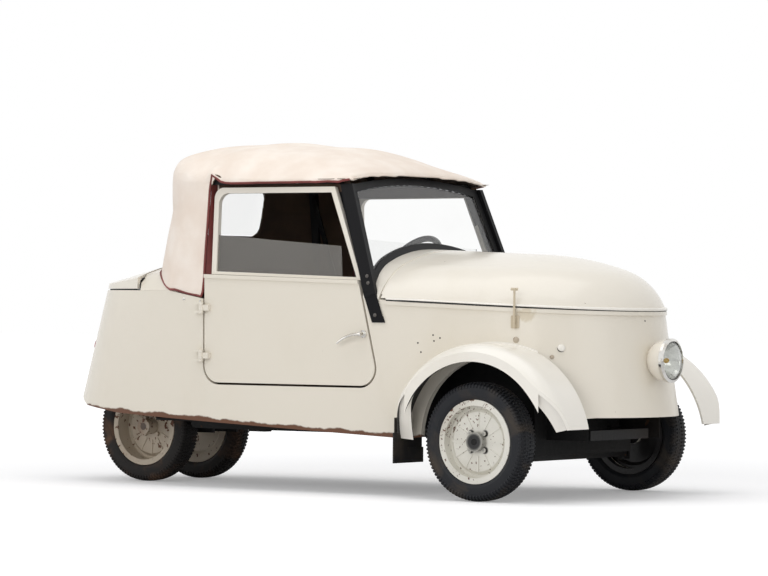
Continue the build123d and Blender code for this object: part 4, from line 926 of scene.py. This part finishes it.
deck = {
    "rim": 0.744,
    "rimDrop": 0.038,
    "front": 0.8255,  # Y where the strip stops short of the lid
    "shoulder": 0.080,
    "slope": 0.12,
    "columns": 9,
    "skin": 0.0022,
    "seal": 0.0034,
    "sealSetback": 0.0275,
}


def deckHeight(x):
    reach = max(-0.395, min(0.395, x))
    return onNode("deck_lid", (reach, 0.843, 1.2), (0, 0, -1))[0].z


def deckRays():
    center = top["halfWidth"] - top["corner"]
    corner = [math.radians(2 + 88 * count / 18) for count in range(19)]
    y = top["cornerY"]
    rays = [((-center, y), (-math.cos(a), math.sin(a))) for a in corner]
    rays += [((x * center, y), (0.0, 1.0)) for x in (-0.75, -0.5, -0.25, 0, 0.25, 0.5, 0.75)]
    rays += [((center, y), (math.cos(a), math.sin(a))) for a in corner[::-1]]
    return rays


def makeDeck():
    bm = bmesh.new()
    inner, rows = [], []
    for (cx, cy), (dx, dy) in deckRays():
        start = Vector((cx + dx * 0.9, cy + dy * 0.9, 0))
        back = Vector((-dx, -dy, 0))
        rim = onNode("body_shell", start + Vector((0, 0, deck["rim"] - deck["rimDrop"])), back)[0]
        rim.z = 0
        height = deckHeight(cx + dx * top["corner"])
        wall = surfaces["topCloth"].ray_cast(start + Vector((0, 0, height - 0.01)), back)[0]
        wall = Vector((*wall.xy, 0)) + back * 0.003
        outer = rim
        if rim.y > deck["front"]:
            outer = Vector((cx, cy, 0)) + Vector((dx, dy, 0)) * ((deck["front"] - cy) / dy)
        row = []
        for column in range(deck["columns"] + 1):
            at = outer.lerp(wall, column / deck["columns"])
            rise = math.sin(math.pi / 2 * min(1.0, (rim - at).length / deck["shoulder"]))
            level = deckHeight(at.x) + deck["slope"] * (0.832 - at.y)
            row.append(bm.verts.new((at.x, at.y, deck["rim"] + (level - deck["rim"]) * rise)))
        rows.append(row)
        inner.append(row[-1].co - back * 0.003)
    for near, far in zip(rows, rows[1:]):
        for column in range(deck["columns"]):
            bm.faces.new((near[column], near[column + 1], far[column + 1], far[column]))
    bmesh.ops.recalc_face_normals(bm, faces=bm.faces)
    if sum(face.normal.z for face in bm.faces) < 0:
        bmesh.ops.reverse_faces(bm, faces=bm.faces)
    bmesh.ops.solidify(bm, geom=bm.faces[:], thickness=deck["skin"])
    meshPiece("rearDeck", bm, "bodyIvory", "root", 50)
    seal = []
    for count in range(41):
        x = -0.398 + count * 0.0199
        seal.append((x, deck["front"] + 0.0015, deckHeight(x) - deck["sealSetback"] * 0.4))
    tube("lidSeal", seal, deck["seal"], "gasketRubber", "root")
    return inner


def makePiping(inner):
    pieces = [tube("pipingRight", sidePath(-1), top["pipe"], "piping", "root")]
    pieces.append(tube("pipingLeft", sidePath(1), top["pipe"], "piping", "root"))
    ends = [nearest("topCloth", (side * top["halfWidth"], *top["foot"][-1])) for side in (-1, 1)]
    foot = [ends[0]] + [at for at in inner if at.y > 0.605] + [ends[1]]
    pieces.append(tube("pipingFoot", foot, top["pipe"], "piping", "root"))


cloth = makeTop()
makePiping(makeDeck())
print("soft top ready")

# tyres with their tread, one object for each pair of CAD tyres that turn together

tyre = {
    "pitches": 92,
    "rise": 0.0042,
    "taper": 0.86,
    # (across, radius) from the outer bead to the shoulder, then over the crown
    "wall": (
        (0.0345, 0.1370), (0.0345, 0.1505), (0.0395, 0.1540), (0.0430, 0.1600), (0.0435, 0.1625),
        (0.0448, 0.1640), (0.0455, 0.1720), (0.0456, 0.1820), (0.0448, 0.1905),
    ),
    "rows": (
        (0.0448, 0.1905), (0.0425, 0.2010), (0.0375, 0.2050), (0.0290, 0.2072), (0.0265, 0.2075),
        (0.0165, 0.2083), (0.0140, 0.2084), (0.0045, 0.2087),
    ),
    "blocks": (0, 1, 2, 4, 6),  # the runs that carry blocks, the others are grooves
    "treadFrom": 0.19,
    "crown": 0.2128,
    "width": 0.0923,
}


def tyreInto(bm, center):
    wall, rows = tyre["wall"], tyre["rows"]
    half = list(wall) + list(rows[1:])
    profile = half + [(-x, r) for x, r in half[::-1]]
    start = len(bm.faces)
    ring = [bm.verts.new(Vector(center) + Vector((x, 0, r))) for x, r in profile]
    edges = [bm.edges.new(pair) for pair in zip(ring, ring[1:] + ring[:1])]
    steps = tyre["pitches"] * 2
    bmesh.ops.spin(
        bm, geom=ring + edges, cent=center, axis=(1, 0, 0), angle=2 * math.pi, steps=steps, use_merge=True
    )
    bm.faces.ensure_lookup_table()
    raised = []
    for face in bm.faces[start:]:
        at = face.calc_center_median() - Vector(center)
        turn = int((math.atan2(at.y, at.z) / (2 * math.pi) % 1.0) * steps)
        onTread = math.hypot(at.y, at.z) > tyre["treadFrom"]
        for index, (near, far) in enumerate(zip(rows, rows[1:])):
            within = min(near[0], far[0]) < abs(at.x) < max(near[0], far[0])
            if index in tyre["blocks"] and within and onTread:
                shift = 1 if index in (4, 6) and at.x > 0 else 0
                if (turn + shift + (index > 2)) % 2 == 0:
                    raised.append(face)
    made = bmesh.ops.extrude_discrete_faces(bm, faces=raised)["faces"]
    for face in made:
        mid = face.calc_center_median()
        away = mid - Vector(center)
        radial = Vector((0, away.y, away.z)).normalized()
        out = (radial + face.normal).normalized()
        room = tyre["crown"] - math.hypot(away.y, away.z)
        for vert in face.verts:
            vert.co = mid + (vert.co - mid) * tyre["taper"] + out * min(tyre["rise"], room)


def makeTyres(name, nodeName, body, finish):
    low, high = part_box(nodeName)
    y, z = (low[1] + high[1]) / 2, (low[2] + high[2]) / 2
    width = tyre["width"]
    centers = {(low[0] + width / 2, y, z), (high[0] - width / 2, y, z)}
    if high[0] - low[0] < 2 * width:
        centers = {((low[0] + high[0]) / 2, y, z)}
    bm = bmesh.new()
    for center in sorted(centers):
        tyreInto(bm, center)
    bmesh.ops.recalc_face_normals(bm, faces=bm.faces)
    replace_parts(meshPiece(name, bm, finish, body, 32), nodeName)


makeTyres("tyreTreadLeft", "tyre_front_left", "wheel_front_left", "tyreRubber")
makeTyres("tyreTreadRight", "tyre_front_right", "wheel_front_right", "tyreRubber")
makeTyres("tyreTreadRear", "tyres_rear", "rear_axle", "rearTyreRubber")
print("tyres ready")

# bench: cushion and backrest blown up as cloth inside their CAD boxes, then channelled

bench = {
    "voxel": 0.009,
    "inset": 0.012,
    "pressure": 4.0,
    "frames": 18,
    "swell": 0.020,
    "channels": 9,
    "channelDepth": 0.007,
    "tension": 12,
    "bending": 2,
}


def inflate(mesh, name):
    # lets the cloth swell, no further than the cap
    rest = [vert.co.copy() for vert in mesh.vertices]
    pad = bpy.data.objects.new(name, mesh)
    scene.collection.objects.link(pad)
    settings = pad.modifiers.new("cloth", "CLOTH").settings
    settings.use_pressure = True
    settings.uniform_pressure_force = bench["pressure"]
    settings.effector_weights.gravity = 0
    settings.quality = 4
    settings.tension_stiffness = bench["tension"]
    settings.bending_stiffness = bench["bending"]
    pad.modifiers["cloth"].point_cache.frame_end = bench["frames"]
    for number in range(1, bench["frames"] + 1):
        scene.frame_set(number)
    blown = bpy.data.meshes.new_from_object(pad.evaluated_get(bpy.context.evaluated_depsgraph_get()))
    scene.frame_set(1)
    bpy.data.objects.remove(pad)
    for vert, start in zip(blown.vertices, rest):
        move = vert.co - start
        if move.length > bench["swell"]:
            vert.co = start + move.normalized() * bench["swell"]
    return blown


def makePad(name, nodeName, depthAxis, facing):
    low, high = (Vector(v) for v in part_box(nodeName))
    middle, half = (low + high) / 2, (high - low) / 2
    bm = mergedCopy(nodeName)
    for vert in bm.verts:
        away = vert.co - middle
        vert.co = middle + Vector([a * (h - bench["inset"]) / h for a, h in zip(away, half)])
    mesh = remeshed(bm, bench["voxel"])
    mesh = inflate(mesh, name)
    bm = bmesh.new()
    bm.from_mesh(mesh)
    bm.normal_update()
    pitch = 2 * half.x / bench["channels"]
    for vert in bm.verts:
        seam = abs(((vert.co.x - low.x) / pitch) % 1.0 - 0.5) * 2  # 1 between two channels
        face = max(0.0, vert.normal[depthAxis] * facing)
        ends = min(1.0, (half.x - abs(vert.co.x - middle.x)) / 0.06)
        vert.co[depthAxis] -= facing * bench["channelDepth"] * max(0.0, seam * 6 - 5) * face * max(0.0, ends)
        for axis in range(3):
            vert.co[axis] = min(max(vert.co[axis], low[axis]), high[axis])
    ease(bm, bm.verts, 0.25)
    pad = meshPiece(name, bm, "seatHide", "root", 60)
    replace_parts(pad, nodeName)


makePad("seatCushion", "seat_cushion", 2, 1)
makePad("seatBack", "seat_backrest", 1, -1)
print("bench ready")

# headlamp: silvered bowl and yellow bulb behind the lens

headlamp = {
    "reflectorRadius": 0.064,
    "socketRadius": 0.008,
    "depth": 0.050,
    "sheet": 0.0012,
    "bulbRadius": 0.010,
    "bulbReach": 0.026,
    "socket": ((0, 0), (0.0085, 0), (0.0085, 0.004), (0.0072, 0.0085), (0, 0.0085)),
}


def makeHeadlamp():
    low, high = (Vector(v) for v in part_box("headlamp_lens"))
    center = Vector(((low.x + high.x) / 2, high.y, (low.z + high.z) / 2))
    bm = bmesh.new()
    least, most = headlamp["socketRadius"], headlamp["reflectorRadius"]
    bowl = []
    for k in range(11):
        bowl.append((least + (most - least) * math.sqrt(k / 10), -headlamp["depth"] * (1 - k / 10)))
    wall = [(radius + headlamp["sheet"], height - headlamp["sheet"]) for radius, height in bowl[::-1]]
    turnInto(bm, bowl + wall, center, (0, -1, 0), 48, True)
    closeUp(bm)
    meshPiece("lampReflector", bm, "reflectorSilver", "root", 50)
    bm = bmesh.new()
    radius, reach = headlamp["bulbRadius"], headlamp["bulbReach"]
    back = center + Vector((0, headlamp["depth"] - 0.004, 0))
    bulb = [(0, 0), (radius * 0.55, 0), (radius * 0.6, 0.006)]
    for degrees in range(40, 181, 20):
        angle = math.radians(degrees)
        bulb.append((radius * math.sin(angle), reach - radius * math.cos(angle)))
    turnInto(bm, bulb, back, (0, -1, 0), 24)
    closeUp(bm)
    meshPiece("lampBulb", bm, "yellowBulb", "root", 50)
    bm = bmesh.new()
    turnInto(bm, headlamp["socket"], back, (0, -1, 0), 24)
    closeUp(bm)
    meshPiece("lampSocket", bm, "chrome", "root", 40)


makeHeadlamp()
print("headlamp ready")

# flaps and seals that close the gaps round the doors, the lid and the bonnet

flap = {
    "skin": 0.0022,
    "roofY": (-0.165, 0.425),
    "clear": 0.007,
    "topX": (0.423, 0.445),  # the window frame's inner face, at its top's front and rear
    "topY": (-0.115, 0.43),
    "beltX": 0.463,
    "height": (1.12, 0.82),
}


def strip(name, lines, skin, finish, body="root"):
    # a thin closed strip through matching lines of points
    bm = bmesh.new()
    rows = [[bm.verts.new(point) for point in line] for line in lines]
    for near, far in zip(rows, rows[1:]):
        for pair in zip(near, near[1:], far[1:], far):
            bm.faces.new(pair)
    bmesh.ops.recalc_face_normals(bm, faces=bm.faces)
    bmesh.ops.solidify(bm, geom=bm.faces[:], thickness=skin)
    return meshPiece(name, bm, finish, body, 50)


def frameInner(y, z):
    # the inner face of the door's window frame
    front, rear = flap["topX"]
    upper = front + (rear - front) * share(y, *flap["topY"])
    return upper + (flap["beltX"] - upper) * share(z, *flap["height"]) - flap["clear"]


def makeFlaps(side):
    label = "Left" if side > 0 else "Right"
    heights = [0.795 + 0.365 * count / 16 for count in range(17)]
    edge, turn, inner = [], [], []
    for z in heights:
        y = along(top["door"], z)
        edge.append((side * 0.476, y + 0.004, z))
        turn.append((side * (frameInner(y, z) + 0.002), 0.4345, z))
        inner.append((side * frameInner(y, z), 0.412, z))
    strip("draughtFlap" + label, [edge, turn], flap["skin"], "piping")
    strip("draughtLip" + label, [turn, inner], flap["skin"], "topCloth")
    first, last = flap["roofY"]
    runs = [first + (last - first) * count / 20 for count in range(21)]
    lines = [
        [(side * (0.448 + 0.018 * share(y, first, last)), y, 1.160) for y in runs],
        [(side * (frameInner(y, 1.13) + 0.002), y, 1.150) for y in runs],
        [(side * frameInner(y, 1.12), y, 1.112) for y in runs],
    ]
    strip("roofFlap" + label, lines, flap["skin"], "liningCloth")
    front, back = [], []
    for z in [0.80 + 0.335 * count / 12 for count in range(13)]:
        post = -0.248 + (z - 0.74) * 0.34
        front.append((side * frameInner(post, z), post - 0.045, z))
        back.append((side * frameInner(post, z), post + 0.009, z))
    strip("pillarFlap" + label, [front, back], flap["skin"], "gasketRubber")


def makeHem():
    points = []
    for count in range(49):
        x = -0.452 + count * 0.904 / 48
        points.append(nearest("topCloth", (x, -0.191, 1.174 - 0.10 * x * x)))
    tube("frontHem", points, 0.0042, "topCloth", "root")


def makeLidSeal():
    points = []
    for count in range(61):
        angle = math.radians(-8 + count * 196 / 60)
        away = Vector((math.cos(angle), math.sin(angle), 0))
        start = Vector((0, 0.90, 0.7395)) + away * 1.2
        rim, _ = onNode("body_shell", start, -away)
        if rim.y > 0.836:
            points.append(Vector((*(rim - away * 0.012).xy, 0.7465)))
    tube("lidRubber", points, 0.0026, "gasketRubber", "root")


def makeCowlFiller():
    outer, inner = [], []
    for count in range(45):
        angle = math.radians(2 + count * 176 / 44)
        away = Vector((math.cos(angle), 0, math.sin(angle)))
        rim = surfaceOf("cowl").ray_cast(Vector((0, -0.340, 0.72)) + away * 0.9, -away)[0]
        if rim is None or rim.z < 0.722:
            continue
        outer.append((rim - away * 0.0030) * Vector((1, 0, 1)) + Vector((0, -0.3440, 0)))
        inner.append((rim - away * 0.0030) * Vector((1, 0, 1)) + Vector((0, -0.3545, 0)))
    strip("cowlFiller", [outer, inner], 0.002, "panelIvory")


bead = {
    "radius": 0.0068,
    "out": 0.003,
    "drop": 0.004,
    "seam": (0.6895, 1.21, 0.0388),  # Z at the nose, the nose's Y turned round, and the seam's slope
    "runs": 12,
    "rim": 81,
    "noseFrom": -0.80,
}


def onBonnet(x, y, outward):
    # the bonnet's own edge, over the seam that falls towards the nose
    level, nose, fall = bead["seam"]
    place = Vector((x, y, level + (y + nose) * fall))
    return surfaceOf("bonnet").find_nearest(place)[0] + outward * bead["out"] - Vector((0, 0, bead["drop"]))


def makeBonnetBead():
    points = []
    for count in range(bead["rim"]):
        angle = math.radians(-4 + count * 188 / (bead["rim"] - 1))
        away = Vector((math.cos(angle), -math.sin(angle), 0))
        y = -0.80 if math.sin(angle) > 0 else -0.60
        rim, _ = onNode("body_shell", Vector((0, y, 0.640)) + away * 1.2, -away)
        points.append(onBonnet(rim.x, rim.y, away))
    ends = []
    for side in (1, -1):
        places = [(side * 0.47, -0.372 - count * 0.038) for count in range(bead["runs"])]
        ends.append([onBonnet(x, y, Vector((side, 0, 0))) for x, y in places])
    nose = [at for at in points if at.y < bead["noseFrom"]]
    path = ends[0] + nose + ends[1][::-1]
    tube("bonnetBead", path, bead["radius"], "fenderIvory", "bonnet")


def makeShadeLiners():
    # black sheets round the front wheels and under the nose close the light gaps there, standing in for the
    # shade; then black backings behind the mudflaps
    for side in (-1, 1):
        depths = (-1.10, -0.95, -0.80, -0.65, -0.50)
        rows = [[(side * 0.250, y, z) for z in (0.215, 0.36, 0.50)] for y in depths]
        label = "Left" if side > 0 else "Right"
        strip("shadeApron" + label, rows, 0.003, "underseal")
    across = [[(x, -0.925, z) for z in (0.158, 0.30, 0.44)] for x in (-0.33, -0.11, 0.11, 0.33)]
    strip("shadeApronFront", across, 0.003, "underseal")
    low, high = (Vector(v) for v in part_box("mudflaps"))
    for side in (-1, 1):
        y = (low.y + high.y) / 2
        rows = [[(side * x, y, z) for z in (low.z + 0.004, 0.20, 0.29)] for x in (0.366, 0.42, 0.48, 0.54)]
        strip("flapBacking" + ("Left" if side > 0 else "Right"), rows, 0.003, "flapRubber")


fenderEdge = {
    "axisY": -0.829, "axisZ": 0.186, "radius": 0.377, "outerX": 0.603, "shoulder": 0.060, "fall": 0.075,
    "lipRadius": 0.313, "inset": 0.0035, "skin": 0.003,
    # (angle from level at the end, angle where the corner's lip meets the straight one, centre Y, radius)
    "front": (12.5, 50, -1.062, 0.150),
    "rear": (4.5, 48, -0.586, 0.140),
}


def makeFenderEnds():
    # carries the fender's lip round its rounded corners, down to both ends
    for end, way in (("front", -1), ("rear", 1)):
        low, high, centerY, corner = fenderEdge[end]
        for side in (-1, 1):
            outer, inner = [], []
            for count in range(25):
                angle = math.radians(low + (high - low) * count / 24)
                x, radius = fenderEdge["outerX"], fenderEdge["radius"]
                for _ in range(12):
                    y = fenderEdge["axisY"] + way * radius * math.cos(angle)
                    over = max(0.0, (y - centerY) * way)
                    x = fenderEdge["outerX"] - corner + math.sqrt(max(0.0, corner * corner - over * over))
                    past = max(0.0, x - (fenderEdge["outerX"] - fenderEdge["shoulder"]))
                    drop = fenderEdge["fall"] - math.sqrt(fenderEdge["fall"] ** 2 - past * past)
                    radius = fenderEdge["radius"] - drop
                x -= fenderEdge["inset"]
                for line, reach in ((outer, radius - fenderEdge["inset"]), (inner, fenderEdge["lipRadius"])):
                    y = fenderEdge["axisY"] + way * reach * math.cos(angle)
                    line.append((side * x, y, fenderEdge["axisZ"] + reach * math.sin(angle)))
            label = end.capitalize() + ("Left" if side > 0 else "Right")
            strip("fenderLip" + label, [outer, inner], fenderEdge["skin"], "fenderIvory")


for side in (-1, 1):
    makeFlaps(side)
makeHem()
makeLidSeal()
makeCowlFiller()
makeBonnetBead()
makeShadeLiners()
makeFenderEnds()
print("flaps and seals ready")

# small fittings, each seated on the CAD surface nearest to its place

fittings = {
    # finish, slot, (radius, height) from the foot to the crown
    "noseCap": ("fenderIvory", "body_paint", (
        (0.0145, -0.002), (0.0145, 0.0025), (0.0120, 0.0055), (0.006, 0.0072), (0, 0.0075),
    )),
    "noseButton": ("rearWheelCream", "body_paint", (
        (0.0080, -0.002), (0.0080, 0.0020), (0.0050, 0.0038), (0, 0.0042),
    )),
    "flankPlug": ("rearWheelCream", "body_paint", (
        (0.0110, -0.002), (0.0110, 0.0016), (0.0085, 0.0030), (0, 0.0030),
    )),
    # a thin black disc that stands in for the shade inside a hole
    "holeShadeDisc": ("gasketRubber", "black_rubber", ((0.0032, -0.002), (0.0032, 0.0004), (0, 0.0004))),
    "pillarBolt": ("springSteel", "spring_steel", (
        (0.0070, -0.002), (0.0070, 0.0016), (0.0048, 0.0040), (0, 0.0048),
    )),
    "clothStud": ("chrome", "bright_trim", (
        (0.0055, -0.002), (0.0055, 0.0015), (0.0030, 0.0020), (0.0030, 0.0065), (0, 0.0070),
    )),
}
seats = (
    # name, kind, node, body, places
    ("noseCaps", "noseCap", "body_shell", "root", ((-0.349, -1.047, 0.548), (0.349, -1.047, 0.548))),
    ("noseButtons", "noseButton", "body_shell", "root", ((-0.370, -1.022, 0.516), (0.370, -1.022, 0.516))),
    ("flankPlugs", "flankPlug", "body_shell", "root", ((-0.424, -0.904, 0.576),)),
    # black discs, painted shade for the holes
    ("holeShadeDiscs", "holeShadeDisc", "body_shell", "root", (
        (-0.464, -0.506, 0.560), (-0.463, -0.519, 0.527), (-0.460, -0.570, 0.589), (-0.460, -0.574, 0.568),
        (-0.459, -0.599, 0.579), (-0.025, -1.198, 0.646),
    )),
    ("pillarBolts", "pillarBolt", "pillars", "root", (
        (-0.475, -0.286, 0.801), (-0.478, -0.293, 0.776), (-0.480, -0.326, 0.659),
        (0.475, -0.286, 0.801), (0.478, -0.293, 0.776), (0.480, -0.326, 0.659),
    )),
    ("clothStuds", "clothStud", "body_shell", "root", (
        (-0.489, 0.475, 0.700), (0.489, 0.475, 0.700), (-0.489, 0.560, 0.712), (0.489, 0.560, 0.712),
    )),
)


def makeFittings():
    for name, kind, nodeName, body, places in seats:
        finish, slotName, profile = fittings[kind]
        bm = bmesh.new()
        for place in places:
            at, normal = surfaceOf(nodeName).find_nearest(Vector(place))[:2]
            turnInto(bm, profile, at, normal, 20)
        closeUp(bm)
        meshPiece(name, bm, finish, body, 40)


makeFittings()
print("fittings ready")
